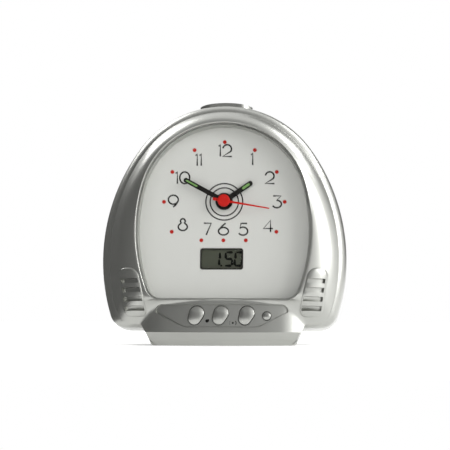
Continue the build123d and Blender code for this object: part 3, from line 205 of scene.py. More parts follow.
# Finishes
def linear(hexCode, alpha=1.0):
    # An sRGB hex value turned to the linear colour that shaders take
    channels = [int(hexCode[place:place + 2], 16) / 255 for place in (1, 3, 5)]
    return tuple(c / 12.92 if c <= 0.04045 else ((c + 0.055) / 1.055) ** 2.4 for c in channels) + (alpha,)


def addNode(tree, kind, settings, links=None):
    # Adds a node, sets its sockets or properties by name and links sources to its inputs
    made = tree.nodes.new(kind)
    for name, value in settings.items():
        if name in made.inputs:
            made.inputs[name].default_value = value
        else:
            setattr(made, name, value)
    for name, source in (links or {}).items():
        tree.links.new(source, made.inputs[name])
    return made


def newMaterial(name):
    material = bpy.data.materials.new(name)
    material.use_nodes = True
    material.node_tree.nodes.clear()
    return material, material.node_tree


broadGrain = 40  # the changes of tone are this many times as broad as the grain
roughnessSpread = 0.06


def finish(name, colour, roughness, metallic=0.0, grain=0.4, grainDepth=0.01, tone=0.06, shader=None):
    # A moulded, painted or rolled surface: a faint change of tone and gloss over a fine grain, whose spacing
    # and depth are in millimetres
    material, tree = newMaterial(name)
    where = addNode(tree, "ShaderNodeTexCoord", {})
    fine = addNode(tree, "ShaderNodeTexNoise", {"Scale": 1 / (grain * mm), "Detail": 2.0},
                   {"Vector": where.outputs["Object"]})
    broad = addNode(tree, "ShaderNodeTexNoise", {"Scale": 1 / (broadGrain * grain * mm), "Detail": 3.0},
                    {"Vector": where.outputs["Object"]})
    base = linear(colour)
    # The colour sockets of this node share their names with others, so they are reached by number
    tint = addNode(tree, "ShaderNodeMix", {"data_type": "RGBA"})
    tint.inputs[6].default_value = tuple(channel * (1 - tone) for channel in base[:3]) + (1.0,)
    tint.inputs[7].default_value = tuple(min(1.0, channel * (1 + tone)) for channel in base[:3]) + (1.0,)
    tree.links.new(broad.outputs["Fac"], tint.inputs[0])
    gloss = addNode(tree, "ShaderNodeMapRange", {"To Min": roughness - roughnessSpread / 2,
                                                 "To Max": roughness + roughnessSpread / 2},
                    {"Value": fine.outputs["Fac"]})
    relief = addNode(tree, "ShaderNodeBump", {"Strength": 0.5, "Distance": grainDepth * mm},
                     {"Height": fine.outputs["Fac"]})
    surface = addNode(tree, "ShaderNodeBsdfPrincipled", {"Metallic": metallic, **(shader or {})},
                      {"Base Color": tint.outputs[2], "Roughness": gloss.outputs["Result"],
                       "Normal": relief.outputs["Normal"]})
    addNode(tree, "ShaderNodeOutputMaterial", {}, {"Surface": surface.outputs["BSDF"]})
    return material


finishes = {
    # ABS sprayed with silver flake paint: broad soft highlights under a thin clear coat
    "case_silver": finish("silverPaintedAbs", "#B4B5B0", 0.33, metallic=0.85, grain=0.35, grainDepth=0.006,
                          tone=0.03, shader={"Coat Weight": 0.25, "Coat Roughness": 0.2}),
    # Small moulded keys in the same paint, a little glossier from handling
    "button_silver": finish("silverPaintedKeys", "#AEAFAA", 0.3, metallic=0.85, grain=0.3, grainDepth=0.004,
                            tone=0.03, shader={"Coat Weight": 0.3, "Coat Roughness": 0.15}),
    # Screen-printed styrene sheet: flat, pale and matte
    "dial_print": finish("printedDialSheet", "#CFD0CB", 0.6, grain=0.5, grainDepth=0.003, tone=0.015),
    # Moulded polystyrene, black and half dull
    "inner_plastic": finish("mouldedBlackStyrene", "#302F2E", 0.5, grain=0.5),
    # Moulded ABS frame, warmer and smoother than the parts inside
    "display_black": finish("mouldedBlackAbs", "#25231F", 0.42, grain=0.3,
                            shader={"Specular IOR Level": 0.25}),
    # Reflector film behind liquid crystal: a flat olive grey with almost no gloss
    "display_lcd": finish("reflectiveLcdFilm", "#4A4D42", 0.35, grain=0.25, grainDepth=0.002, tone=0.05,
                          shader={"Specular IOR Level": 0.12}),
    # Moulded silicone keypad: soft grey, no highlight
    "grey_rubber": finish("siliconeRubber", "#6E706F", 0.75, grain=0.3, grainDepth=0.02),
    # Pressed paper and resin board: even tan, half dull
    "board_brown": finish("phenolicPaperBoard", "#8A6238", 0.6, grain=0.5),
    # Moulded epoxy of chips and small parts: near black with a soft sheen
    "part_black": finish("epoxyMouldedBlack", "#1B1B1C", 0.45, grain=0.2),
    # Drawn aluminium can: bright with a satin blur
    "part_can": finish("rolledAluminiumCan", "#C7C8CA", 0.3, metallic=1.0, grain=0.3),
    # Baked enamel on brass or tin: deep colour, smooth, a weak highlight
    "hand_black": finish("enamelledBlackBrass", "#12110E", 0.4, grain=0.3, grainDepth=0.003,
                         shader={"Specular IOR Level": 0.25}),
    # Brushed-on luminous paint: grainy pale green, no gloss
    "lume_green": finish("luminousPaint", "#739F58", 0.7, grain=0.25, grainDepth=0.02),
    "hand_red": finish("enamelledRedTin", "#BE150B", 0.4, grain=0.3, grainDepth=0.003, tone=0.04,
                       shader={"Specular IOR Level": 0.25}),
    # Moulded acetal wheels: milky white, waxy
    "gear_white": finish("mouldedAcetal", "#DDDDD6", 0.45, grain=0.3),
    # Moulded nylon knob: charcoal, half dull
    "knob_dark": finish("mouldedDarkNylon", "#2C2D2E", 0.5, grain=0.3),
    # Sintered ferrite: rough dark grey
    "magnet_dark": finish("sinteredFerrite", "#39393B", 0.55, grain=0.2, grainDepth=0.02),
    # Rolled steel sheet of the stator: grey with a satin highlight
    "motor_steel": finish("rolledSiliconSteel", "#9C9EA0", 0.35, metallic=1.0, grain=0.2),
    # Wound enamelled wire: warm copper with a fine rough grain
    "coil_copper": finish("enamelledCopperWire", "#A9582C", 0.35, metallic=1.0, grain=0.15, grainDepth=0.05),
    # Pressed and zinc-plated steel: cool grey, satin
    "speaker_steel": finish("pressedZincSteel", "#A6A8AA", 0.35, metallic=1.0, grain=0.4),
    # Pressed paper pulp: dull charcoal with a felted grain
    "cone_paper": finish("pressedConePaper", "#2A2927", 0.85, grain=0.3, grainDepth=0.04),
    # Nickel-plated spring steel: warm bright metal
    "contact_nickel": finish("nickelPlatedSteel", "#C3BFB6", 0.25, metallic=1.0, grain=0.3),
    # Shrunk film sleeve of a cell: smooth plain green
    "cell_wrap": finish("shrinkFilmWrap", "#3F7C59", 0.35, grain=0.5, tone=0.04),
    # Zinc-plated screws: bright cool grey
    "screw_steel": finish("zincPlatedSteel", "#B5B7B9", 0.32, metallic=1.0, grain=0.2),
}
# Inks: thin, opaque and nearly without gloss
flatInk = {"Specular IOR Level": 0.12}
numeralInk = finish("screenPrintedGreyInk", "#201F1D", 0.55, grain=0.3, grainDepth=0.002, shader=flatInk)
redInk = finish("screenPrintedRedInk", "#B0241C", 0.5, grain=0.3, grainDepth=0.002, shader=flatInk)
blackInk = finish("padPrintedBlackInk", "#1C1B1A", 0.5, grain=0.3, grainDepth=0.002, shader=flatInk)
segmentInk = finish("liquidCrystalSegments", "#030402", 0.4, grain=0.3, grainDepth=0.002, shader=flatInk)


def clearPlastic(name):
    # Polished clear styrene: nearly all light passes, and a faint gloss stays on it
    material, tree = newMaterial(name)
    flowLine = 30 * mm
    where = addNode(tree, "ShaderNodeTexCoord", {})
    waves = addNode(tree, "ShaderNodeTexNoise", {"Scale": 1 / flowLine}, {"Vector": where.outputs["Object"]})
    gloss = addNode(tree, "ShaderNodeMapRange", {"To Min": 0.02, "To Max": 0.05},
                    {"Value": waves.outputs["Fac"]})
    surface = addNode(tree, "ShaderNodeBsdfPrincipled",
                      {"Base Color": linear("#FFFFFF"), "Transmission Weight": 1.0, "IOR": 1.49,
                       "Alpha": 0.06}, {"Roughness": gloss.outputs["Result"]})
    addNode(tree, "ShaderNodeOutputMaterial", {}, {"Surface": surface.outputs["BSDF"]})
    return material


finishes["lens_clear"] = clearPlastic("polishedClearStyrene")


def dress(piece, body, slot, *nodes, material=None):
    # Gives a piece its finish and its body, and hides the imported nodes that it stands for
    piece.data.materials.clear()
    piece.data.materials.append(material or finishes[slot])
    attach(piece, body)
    if nodes:
        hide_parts(*nodes)
    return piece


print("finishes made")

# Front shell: bezel, bowed chin with its button recess, louvre pods and the front of the foot
bezel = {"browShare": 0.56, "browDepthShare": 0.36, "brow": 1.5, "rows": 18, "rim": 0.45,
         "lensInset": 0.4, "lensBack": 2.3, "throatInset": 1.3, "throatTaper": 0.5, "throatEnd": 8.55,
         "innerDepth": 6.4, "innerReach": 2.0, "columns": 400, "blend": 1.6, "blendTop": 60.0}
chin = {"setback": 0.3, "bow": 160.0, "bowHalf": 30.0, "sideRadius": 27.6, "sideX": 24.825,
        "sideDepth": 30.25, "half": 39.9, "flare": 1.5, "crease": 6.9, "rows": 5, "wall": 2.6}
# The button recess in the chin: its edges and corners, depth, width of the groove round its floor, and how
# far apart it is sliced to follow the bow
panel = {"left": -34.6, "right": 33.4, "top": 21.7, "tip": 17.7, "bottom": 9.6, "topCorner": 3.4,
         "lowCorner": 7.6, "cornerSteps": 8, "deep": 1.0, "line": 0.55, "slice": 1.5}
foot = {"taper": 24.7, "edge": 0.5, "top": 13.0, "step": 0.2, "buried": 0.4, "columns": 120}


def bowDepth(x):
    # Depth of the bowed chin at a distance from the middle: a long arc, then a tighter one at both sides
    if abs(x) <= chin["bowHalf"]:
        return chin["setback"] + chin["bow"] - math.sqrt(chin["bow"] ** 2 - x ** 2)
    reach = min(abs(x) - chin["sideX"], chin["sideRadius"])
    return chin["sideDepth"] - math.sqrt(chin["sideRadius"] ** 2 - reach ** 2)


def smoothLeast(first, second, blend):
    # The smaller of two depths, rounded where they cross
    gap = max(blend - abs(first - second), 0) / blend
    return min(first, second) - gap * gap * blend / 4


def heightAt(depth, z):
    # Height along the face of a point at a depth, from its height over the floor
    return (z + depth * leanSine) / leanCosine


brow = between(windowOutline, creaseOutline, bezel["browShare"])
brow["bottom"] = windowOutline["bottom"] - bezel["brow"]


def bezelStation(share):
    # Size and depth of the bezel's outline between the rim and the crease, on a parabola through the brow
    weights = (2 * (share - 0.5) * (share - 1), 4 * share * (1 - share), 2 * share * (share - 0.5))
    stations = ((windowOutline, 0), (brow, case["creaseDepth"] * bezel["browDepthShare"]),
                (creaseOutline, case["creaseDepth"]))
    size = {key: sum(weight * station[0][key] for weight, station in zip(weights, stations))
            for key in windowOutline}
    return size, sum(weight * station[1] for weight, station in zip(weights, stations))


# The front shell's section from the throat round to the throat: a kind, an outline and a depth, or for the
# chin's rows a share of the way from the crease line down to the foot
rimInset = bezel["lensInset"]
frontSection = [
    ("wall", inset(windowOutline, bezel["throatInset"] + bezel["throatTaper"]), bezel["throatEnd"]),
    ("wall", inset(windowOutline, bezel["throatInset"]), bezel["lensBack"]),
    ("wall", inset(windowOutline, rimInset), bezel["lensBack"]),
    ("wall", inset(windowOutline, rimInset), bezel["rim"]),
]
for step in range(1, quarterSteps + 1):
    turn = math.radians(90 / quarterSteps * step)
    frontSection.append(("wall", inset(windowOutline, rimInset - bezel["rim"] * (1 - math.cos(turn))),
                         bezel["rim"] * (1 - math.sin(turn))))
for step in range(1, bezel["rows"] + 1):
    size, depth = bezelStation(step / bezel["rows"])
    frontSection.append(("bezel", size, depth - case["seamGap"] * step / bezel["rows"]))
frontSection += [("chin", step / chin["rows"], 0) for step in range(1, chin["rows"] + 1)]
creaseBack = case["creaseDepth"] - case["seamGap"]
frontSection += [
    ("under", creaseOutline, creaseBack),
    ("wall", inset(creaseOutline, case["wall"]), creaseBack),
    ("wall", inset(windowOutline, -bezel["innerReach"]), bezel["innerDepth"]),
    ("wall", inset(windowOutline, -bezel["innerReach"]), bezel["throatEnd"]),
    frontSection[0],
]


def frontPlace(turn, row):
    # Where a point of the grid goes: turn runs along the outline, and row along the section
    share = 2 * turn - 1
    kind, size, depth = frontSection[row]
    onChin = abs(share) <= stretch["chin"] + mergeReach
    if kind == "wall":
        x, height = outlinePoint(size, share)
    elif kind == "bezel" or not onChin:
        x, height = outlinePoint(size if kind == "bezel" else creaseOutline, share)
        depth = depth if kind == "bezel" else creaseBack
        if height < bezel["blendTop"]:
            depth = smoothLeast(depth, bowDepth(x), bezel["blend"])
    else:
        drop = size if kind == "chin" else 1
        x, top = outlinePoint(creaseOutline, share)
        x *= 1 - drop * chin["flare"] / (chin["half"] + chin["flare"])
        depth = smoothLeast(creaseBack, bowDepth(x), bezel["blend"])
        height = top + (heightAt(depth, chin["crease"]) - top) * drop
        if kind == "under":
            depth = creaseBack
            height = heightAt(depth, chin["crease"])
    return Vector((x, depth, height))


front = mappedGrid(bezel["columns"], len(frontSection) - 1, frontPlace)
faceTree = BVHTree.FromBMesh(front)


def faceDepth(x, height):
    # Depth of the front shell's outer face at a place seen from the front
    hit = faceTree.ray_cast(Vector((x, -longWay, height)), Vector((0, 1, 0)))
    return hit[0].y


# Front of the foot: closed sections across it, from the left side to the right
footTaper = math.tan(math.radians(foot["taper"]))
footHeights = [foot["top"], chin["crease"], chin["crease"] / 2, foot["edge"], 0.0]
footHalf = chin["half"] - foot["step"]


def seamOfFoot(z):
    # How far back the seam between the shells is at a height over the floor
    return -case["rimReach"] + creaseBack * leanCosine + heightAt(creaseBack, z) * leanSine


def footAhead(x):
    # How far forward the foot stands at the height of the chin's crease
    bow = bowDepth(x)
    return -case["rimReach"] + heightAt(bow, chin["crease"]) * leanSine + bow * leanCosine + foot["step"]


def frontOfFoot(x, z):
    # Where a point of the crease goes at another height, drawn in square to the foot's own outline
    drawn = max(chin["crease"] - z, 0) * footTaper + (foot["edge"] / 2 if z == 0 else 0)
    slope = (footAhead(x + foot["step"]) - footAhead(x - foot["step"])) / (2 * foot["step"])
    square = math.hypot(slope, 1)
    most = footHalf - drawn
    rise = (z - chin["crease"]) * leanSine + foot["buried"] if z > chin["crease"] else 0
    return max(-most, min(x - drawn * slope / square, most)), footAhead(x) + drawn / square + rise


def reachOfFoot(z):
    # How far out the front of the foot goes before it meets the seam or the side
    reach = footHalf
    while frontOfFoot(reach, z)[1] > seamOfFoot(z):
        reach -= foot["step"] / 4
    return reach


footReach = {z: reachOfFoot(z) for z in footHeights}


def footPlace(turn, row):
    # Front rows go down and back rows go up, and they meet where the foot reaches the seam
    row = row % (2 * len(footHeights))
    z = footHeights[min(row, 2 * len(footHeights) - 1 - row)]
    x, y = frontOfFoot((2 * turn - 1) * footReach[z], z)
    atEnd = turn in (0, 1) and footReach[z] < footHalf
    return Vector((x, y if row < len(footHeights) and not atEnd else seamOfFoot(z), z))


footFront = mappedGrid(foot["columns"], 2 * len(footHeights), footPlace)
closeUp(footFront)
footFront.transform(leanMatrix.inverted())

# Louvre pods: lozenges domed over the bezel at both sides of the chin, each cut by four slots
pod = {"innerLow": 38.0, "outerLow": 50.8, "innerTop": 43.8, "outerTop": 54.2, "low": 15.4, "top": 40.6,
       "round": 4.6, "proud": 1.0, "sunk": 1.2, "swell": 3, "lip": 0.25, "across": 26, "along": 60}
louvre = {"slots": 4, "pitch": 4.62, "high": 2.4, "first": 18.6, "edge": 1.1, "ahead": 4.0, "deep": 1.3,
          "along": 6}


def podPatch(low, high, margin, front, back, rows):
    # A closed patch of the pod's outline between two heights, from one offset of the face to another
    def place(turn, row):
        height = low + (high - low) * min(max(row - 1, 0), rows) / rows
        share = (height - pod["low"]) / (pod["top"] - pod["low"])
        end = min(height - pod["low"], pod["top"] - height) - margin
        corner = pod["round"] - margin
        trim = corner - math.sqrt(max(corner ** 2 - max(corner - end, 0) ** 2, 0)) + margin
        left = pod["innerLow"] + (pod["innerTop"] - pod["innerLow"]) * share + trim
        right = pod["outerLow"] + (pod["outerTop"] - pod["outerLow"]) * share - trim
        step = round(turn * (2 * pod["across"] + 2)) % (2 * pod["across"] + 2)
        across = min(step, 2 * pod["across"] + 1 - step) / pod["across"]
        x = left + (right - left) * across
        onBack = step > pod["across"] or row == 0 or row == rows + 2
        lift = back if onBack else front(2 * across - 1, min(end / pod["round"], 1))
        return Vector((x, faceDepth(x, height) + lift, height))
    return mappedGrid(2 * pod["across"] + 2, rows + 2, place)


def podDome(across, end):
    # Height of the pod over the bezel, full in the middle and rolling away at its edges
    roll = (1 - abs(across) ** pod["swell"]) ** 0.5
    return pod["lip"] - (pod["proud"] + pod["lip"]) * roll * (1 - (1 - end) ** pod["swell"]) ** 0.5


def slotFront(across, end):
    # The slots' cuts start flat, ahead of the pod
    return -louvre["ahead"]


podRight = podPatch(pod["low"], pod["top"], 0, podDome, pod["sunk"], pod["along"])
slotLows = [louvre["first"] + louvre["pitch"] * step for step in range(louvre["slots"])]
slotCuts = [podPatch(low, low + louvre["high"], louvre["edge"], slotFront, louvre["deep"], louvre["along"])
            for low in slotLows]


# Recess and holes for the four front buttons: three eggs, each a belt round two circles, and a round one
egg = {"upper": 3.65, "lower": 3.15, "spread": 2.75, "lean": 0.6, "level": 15.6, "proud": 1.3, "dome": 11.0,
       "gap": 0.4, "places": {"set_button": -13.7, "hour_button": -1.2, "minute_button": 12.0}}
small = {"place": 22.5, "level": 15.7, "radius": 2.05, "proud": 1.1, "dome": 4.1, "gap": 0.4}
eggCircles = ((egg["lean"], egg["spread"] / 2, egg["upper"]),
              (-egg["lean"], -egg["spread"] / 2, egg["lower"]))
smallCircle = ((0, 0, small["radius"]),)


def hullPoint(circles, turn, grow=0):
    # The point of a belt round some circles whose outward direction is turn
    across, up = math.cos(turn), math.sin(turn)
    x, z, radius = max(circles, key=lambda circle: circle[0] * across + circle[1] * up + circle[2])
    return x + (radius + grow) * across, z + (radius + grow) * up


def prism(circles, front, back, at, grow=0, steps=96):
    # A straight block with a belt outline at a place, from one depth to another
    bm = bmesh.new()
    bmesh.ops.create_circle(bm, cap_ends=True, segments=steps, radius=1)
    for vert in bm.verts:
        x, z = hullPoint(circles, math.atan2(vert.co.y, vert.co.x), grow)
        vert.co = Vector((at[0] + x, back, at[1] + z))
    bmesh.ops.remove_doubles(bm, verts=bm.verts, dist=mergeReach)
    movedAlong(bm, bmesh.ops.extrude_face_region(bm, geom=bm.faces[:]), front - back)
    bmesh.ops.recalc_face_normals(bm, faces=bm.faces)
    return bm


def panelBlock(front, back, line=0):
    # The button recess's outline as a block between two depths. It is sliced across, so that its end near the
    # face follows the bowed chin. line is how wide and deep a groove runs round its floor.
    bm = bmesh.new()
    run = 2 * panel["lowCorner"]
    outline = ((panel["left"], panel["top"]), (panel["left"], panel["tip"]),
               (panel["left"] + run, panel["bottom"]),
               (panel["right"] - run, panel["bottom"]), (panel["right"], panel["tip"]),
               (panel["right"], panel["top"]))
    face = bm.faces.new([bm.verts.new((x, back + line, z)) for x, z in outline])
    slope = math.atan2(panel["tip"] - panel["bottom"], run)
    for level, offset in ((panel["top"], panel["topCorner"]),
                          (panel["bottom"], panel["lowCorner"] * math.tan(slope / 2))):
        corner = [vert for vert in bm.verts if abs(vert.co.z - level) < mergeReach]
        bmesh.ops.bevel(bm, geom=corner, offset=offset, segments=panel["cornerSteps"], profile=0.5,
                        affect="VERTICES", material=-1)
    floor = bm.faces[:]
    moves = []
    if line:
        bm.normal_update()
        bmesh.ops.inset_region(bm, faces=floor, thickness=line, use_boundary=True, use_even_offset=True)
        moves.append((list(floor[0].edges), -line))
    moves.append(([edge for edge in bm.edges if edge.is_boundary], front - back - line))
    if line:
        bmesh.ops.delete(bm, geom=floor, context="FACES_ONLY")
    for edges, reach in moves:
        movedAlong(bm, bmesh.ops.extrude_edge_only(bm, edges=edges), reach)
    closeUp(bm)
    slices = math.ceil(max(-panel["left"], panel["right"]) / panel["slice"])
    for step in range(-slices, slices + 1):
        bmesh.ops.bisect_plane(bm, geom=bm.verts[:] + bm.edges[:] + bm.faces[:], dist=mergeReach,
                               plane_co=(step * panel["slice"], 0, 0), plane_no=(1, 0, 0))
    for vert in bm.verts:
        if 0 < vert.co.y < longWay / 2:
            vert.co.y += bowDepth(vert.co.x)
    return bm


recess = panelBlock(cutStart, panel["deep"], panel["line"])
cavity = panelBlock(longWay, chin["wall"])
holes = [prism(eggCircles, cutStart, longWay, (x, egg["level"]), egg["gap"]) for x in egg["places"].values()]
holes.append(prism(smallCircle, cutStart, longWay, (small["place"], small["level"]), small["gap"]))

front = combine(front, joined([mirrored(podRight), podRight, footFront]), "UNION")
slotMirrors = [mirrored(cut) for cut in slotCuts]
for cuts in ([recess, *slotCuts, *slotMirrors], holes, [cavity]):
    front = combine(front, joined(cuts), "DIFFERENCE")
dress(toObject(front, "frontShellSkin"), "case", "case_silver", "front_shell")
print("front shell made")


# Front buttons: domed caps with rounded edges, whose tops follow one ball each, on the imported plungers
keyCap = {"edge": 0.35, "rings": 9, "columns": 96, "join": 0.5}


def domedKey(circles, at, apex, dome, back):
    # The dome's rings come first, then the rounded edge, the side and the closed back
    rings = keyCap["rings"]

    def place(turn, row):
        x, z = hullPoint(circles, 2 * math.pi * turn)
        reach = math.hypot(x, z)
        if row <= rings:
            share = row / rings
            trim = 1 - keyCap["edge"] / reach
            x, z = x * share * trim, z * share * trim
            return Vector((at[0] + x, apex + dome - math.sqrt(dome ** 2 - x * x - z * z), at[1] + z))
        rim = apex + dome - math.sqrt(dome ** 2 - (reach - keyCap["edge"]) ** 2)
        roll = math.radians(90 / quarterSteps * (row - rings))
        if row <= rings + quarterSteps:
            scale = 1 - keyCap["edge"] * (1 - math.sin(roll)) / reach
            return Vector((at[0] + x * scale, rim + keyCap["edge"] * (1 - math.cos(roll)), at[1] + z * scale))
        scale = 1 if row == rings + quarterSteps + 1 else 0
        return Vector((at[0] + x * scale, back, at[1] + z * scale))
    return mappedGrid(keyCap["columns"], rings + quarterSteps + 2, place)


def keyBehind(node, depth):
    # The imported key's plunger and flange, behind a depth
    body = packedCopy(node)
    body.transform(faceToFrame.inverted())
    bmesh.ops.bisect_plane(body, geom=body.verts[:] + body.edges[:] + body.faces[:], dist=mergeReach / 10,
                           plane_co=(0, depth, 0), plane_no=(0, 1, 0), clear_inner=True)
    closeUp(body)
    return body


keys = [(name, x, egg, eggCircles) for name, x in egg["places"].items()]
keys.append(("chime_button", small["place"], small, smallCircle))
for name, x, kind, circles in keys:
    floorDepth = bowDepth(x) + panel["deep"]
    cap = domedKey(circles, (x, kind["level"]), floorDepth - kind["proud"], kind["dome"],
                   floorDepth + 2 * keyCap["join"])
    keySkin = toObject(combine(cap, keyBehind(name, floorDepth + keyCap["join"]), "UNION"), name + "Skin")
    dress(keySkin, name.replace("_button", "_key"), "button_silver", name)
print("front buttons made")


# Rear shell, crown button and battery door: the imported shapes, with their triangles merged to shade smoothly
nearlyFlat = 0.5
for node, body in (("rear_shell", "case"), ("talk_button", "talk"), ("battery_door", "door")):
    smooth = packedCopy(node)
    bmesh.ops.dissolve_limit(smooth, angle_limit=math.radians(nearlyFlat), verts=smooth.verts,
                             edges=smooth.edges)
    dress(toObject(smooth, node + "Skin", Matrix.Identity(4)), body, "case_silver", node)
print("rear shell, crown button and battery door made")

# Dial printing: hour numerals in thin round-ended strokes, red hour dots and two rings. The numerals' and
# dots' places are from the dial's centre.
dial = {"depth": 8.6, "centre": 75.3, "numeral": 6.1, "stroke": 0.41, "gap": 0.2, "film": 0.05,
        "rings": (9.45, 7.25), "ringHalfWidth": 0.34, "ringSteps": 96, "dot": 1.0, "dotCircle": 31.0,
        "dotHours": (0, 1, 2, 3, 4, 8, 9, 10, 11), "lowDots": (-11.6, -0.3, 11.2), "lowDotLevel": -19.9,
        "dotSteps": 32}


def arc(x, z, acrossRadius, upRadius, start, end, steps=24):
    # Points of an ellipse's arc between two angles
    turns = [math.radians(start + (end - start) * step / steps) for step in range(steps + 1)]
    return [(x + acrossRadius * math.cos(turn), z + upRadius * math.sin(turn)) for turn in turns]


# Strokes of each digit in a box one high, and the digit's width, as shares of its height
digits = {
    "0": ([arc(0.42, 0.5, 0.42, 0.5, 0, 360)], 0.84),
    "1": ([[(0.0, 0.86), (0.14, 1.0), (0.14, 0.0)]], 0.14),
    "2": ([arc(0.38, 0.64, 0.36, 0.36, 172, -38) + [(0.0, 0.0), (0.78, 0.0)]], 0.78),
    "3": ([[(0.06, 1.0), (0.72, 1.0), (0.36, 0.62)] + arc(0.38, 0.31, 0.38, 0.31, 85, -155)], 0.76),
    "4": ([[(0.6, 0.0), (0.6, 1.0), (0.0, 0.3), (0.8, 0.3)]], 0.8),
    "5": ([[(0.74, 1.0), (0.24, 1.0), (0.13, 0.55)] + arc(0.4, 0.34, 0.4, 0.34, 128, -150)], 0.8),
    "6": ([arc(0.42, 0.32, 0.42, 0.32, 0, 360), [(0.6, 1.0), (0.3, 0.75), (0.07, 0.47)]], 0.84),
    "7": ([[(0.0, 1.0), (0.62, 1.0), (0.2, 0.0)]], 0.62),
    "8": ([arc(0.38, 0.31, 0.38, 0.31, 128, 412) + arc(0.38, 0.8, 0.2, 0.2, -50, 230)
           + arc(0.38, 0.31, 0.38, 0.31, 128, 129, 1)], 0.76),
    "9": ([arc(0.42, 0.62, 0.42, 0.38, 0, 360), [(0.78, 0.42), (0.62, 0.16), (0.4, 0.0)]], 0.84),
}
numeralPlaces = {"12": (0.3, 26.6), "1": (14.0, 22.1), "2": (23.3, 12.5), "3": (27.0, 0.0),
                 "4": (22.6, -12.6), "5": (9.7, -14.2), "6": (-0.3, -14.1), "7": (-8.5, -14.1),
                 "8": (-21.2, -11.8), "9": (-26.2, 0.4), "10": (-21.5, 12.5), "11": (-13.5, 21.8)}
hourTurns = [math.radians(30 * hour) for hour in dial["dotHours"]]
dotPlaces = [(dial["dotCircle"] * math.sin(turn), dial["dotCircle"] * math.cos(turn)) for turn in hourTurns]
dotPlaces += [(x, dial["lowDotLevel"]) for x in dial["lowDots"]]


def strokeMesh(strokes, halfWidth, film):
    # Flattened round-ended strokes in the plane of the face
    curve = bpy.data.curves.new("strokes", "CURVE")
    curve.dimensions = "3D"
    curve.bevel_depth = halfWidth
    curve.bevel_resolution = 2
    curve.use_fill_caps = True
    for stroke in strokes:
        closed = math.dist(stroke[0], stroke[-1]) < mergeReach
        points = stroke[:-1] if closed else stroke
        spline = curve.splines.new("POLY")
        spline.points.add(len(points) - 1)
        for point, (x, z) in zip(spline.points, points):
            point.co = (x, 0, z, 1)
        spline.use_cyclic_u = closed
    holder = bpy.data.objects.new("strokes", curve)
    mesh = bpy.data.meshes.new_from_object(holder)
    bpy.data.objects.remove(holder)
    bpy.data.curves.remove(curve)
    bm = bmesh.new()
    bm.from_mesh(mesh)
    bpy.data.meshes.remove(mesh)
    bmesh.ops.remove_doubles(bm, verts=bm.verts, dist=mergeReach)
    bm.transform(Matrix.Scale(film / halfWidth, 4, (0, 1, 0)))
    bmesh.ops.recalc_face_normals(bm, faces=bm.faces)
    return bm


def numeral(text, x, z):
    # The strokes of a number centred on a place
    strokes = []
    width = sum(digits[digit][1] for digit in text) + dial["gap"] * (len(text) - 1)
    start = -width / 2
    for digit in text:
        shapes, reach = digits[digit]
        for shape in shapes:
            strokes.append([(x + (start + px) * dial["numeral"], z + (pz - 0.5) * dial["numeral"])
                            for px, pz in shape])
        start += reach + dial["gap"]
    return strokes


dialToFace = Matrix.Translation((0, dial["depth"], dial["centre"]))
strokes = [stroke for text, (x, z) in numeralPlaces.items() for stroke in numeral(text, x, z)]
numerals = strokeMesh(strokes, dial["stroke"], dial["film"])
numerals.transform(dialToFace)
dress(toObject(numerals, "dialNumerals"), "case", "dial_print", material=numeralInk)
rings = strokeMesh([arc(0, 0, radius, radius, 0, 360, dial["ringSteps"]) for radius in dial["rings"]],
                   dial["ringHalfWidth"], dial["film"])
rings.transform(dialToFace)
dress(toObject(rings, "dialRings"), "case", "dial_print", material=blackInk)
dots = joined([prism(((0, 0, dial["dot"]),), -dial["film"], 0, at, steps=dial["dotSteps"])
               for at in dotPlaces])
dots.transform(dialToFace)
dress(toObject(dots, "dialDots"), "case", "dial_print", material=redInk)
print("dial printing made")

# Two plain marks printed on the button panel: a drop, and a dot between two arcs
panelMarks = {"drop": (-7.9, 13.0), "dropCircles": ((0, 0, 0.85), (1.3, 0.6, 0.3)), "dropSteps": 32,
              "waves": (5.3, 12.0), "waveRadius": 1.7, "waveHalfTurn": 35, "waveSteps": 8, "stroke": 0.2,
              "dot": 0.5, "dotSteps": 24}


def onPanel(mark, at):
    # Sets a mark on the recess's floor, which follows the bow
    mark.transform(Matrix.Translation((at[0], bowDepth(at[0]) + panel["deep"], at[1])))
    return mark


drop = prism(panelMarks["dropCircles"], -dial["film"], 0, (0, 0), steps=panelMarks["dropSteps"])
wave = panelMarks["waveRadius"]
waveArcs = [arc(0, 0, wave, wave, turn - panelMarks["waveHalfTurn"], turn + panelMarks["waveHalfTurn"],
                panelMarks["waveSteps"]) for turn in (0, 180)]
waves = strokeMesh(waveArcs, panelMarks["stroke"], dial["film"])
waveDot = prism(((0, 0, panelMarks["dot"]),), -dial["film"], 0, (0, 0), steps=panelMarks["dotSteps"])
marks = joined([onPanel(drop, panelMarks["drop"]), onPanel(waves, panelMarks["waves"]),
                onPanel(waveDot, panelMarks["waves"])])
dress(toObject(marks, "panelMarks"), "case", "case_silver", material=blackInk)
print("panel marks made")

# Hour and minute hands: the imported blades, of half width "half" from "start" on, drawn out to "wide"
hands = {"hour_hand": {"body": "hours", "angle": 55.2, "start": 3.56, "half": 1.1, "wide": 1.3},
         "minute_hand": {"body": "minutes", "angle": 298.7, "start": 2.4, "half": 0.9, "wide": 1.2}}
for node, hand in hands.items():
    blade = packedCopy(node)
    blade.transform(faceToFrame.inverted())
    turn = math.radians(hand["angle"])
    along = Vector((math.sin(turn), 0, math.cos(turn)))
    aside = Vector((math.cos(turn), 0, -math.sin(turn)))
    for vert in blade.verts:
        reach = vert.co - Vector((0, vert.co.y, dial["centre"]))
        if reach.dot(along) > hand["start"] and abs(reach.dot(aside)) < hand["half"] + mergeReach:
            vert.co += aside * reach.dot(aside) * (hand["wide"] / hand["half"] - 1)
    dress(toObject(blade, node + "Skin"), hand["body"], "hand_black", node)
print("hands made")

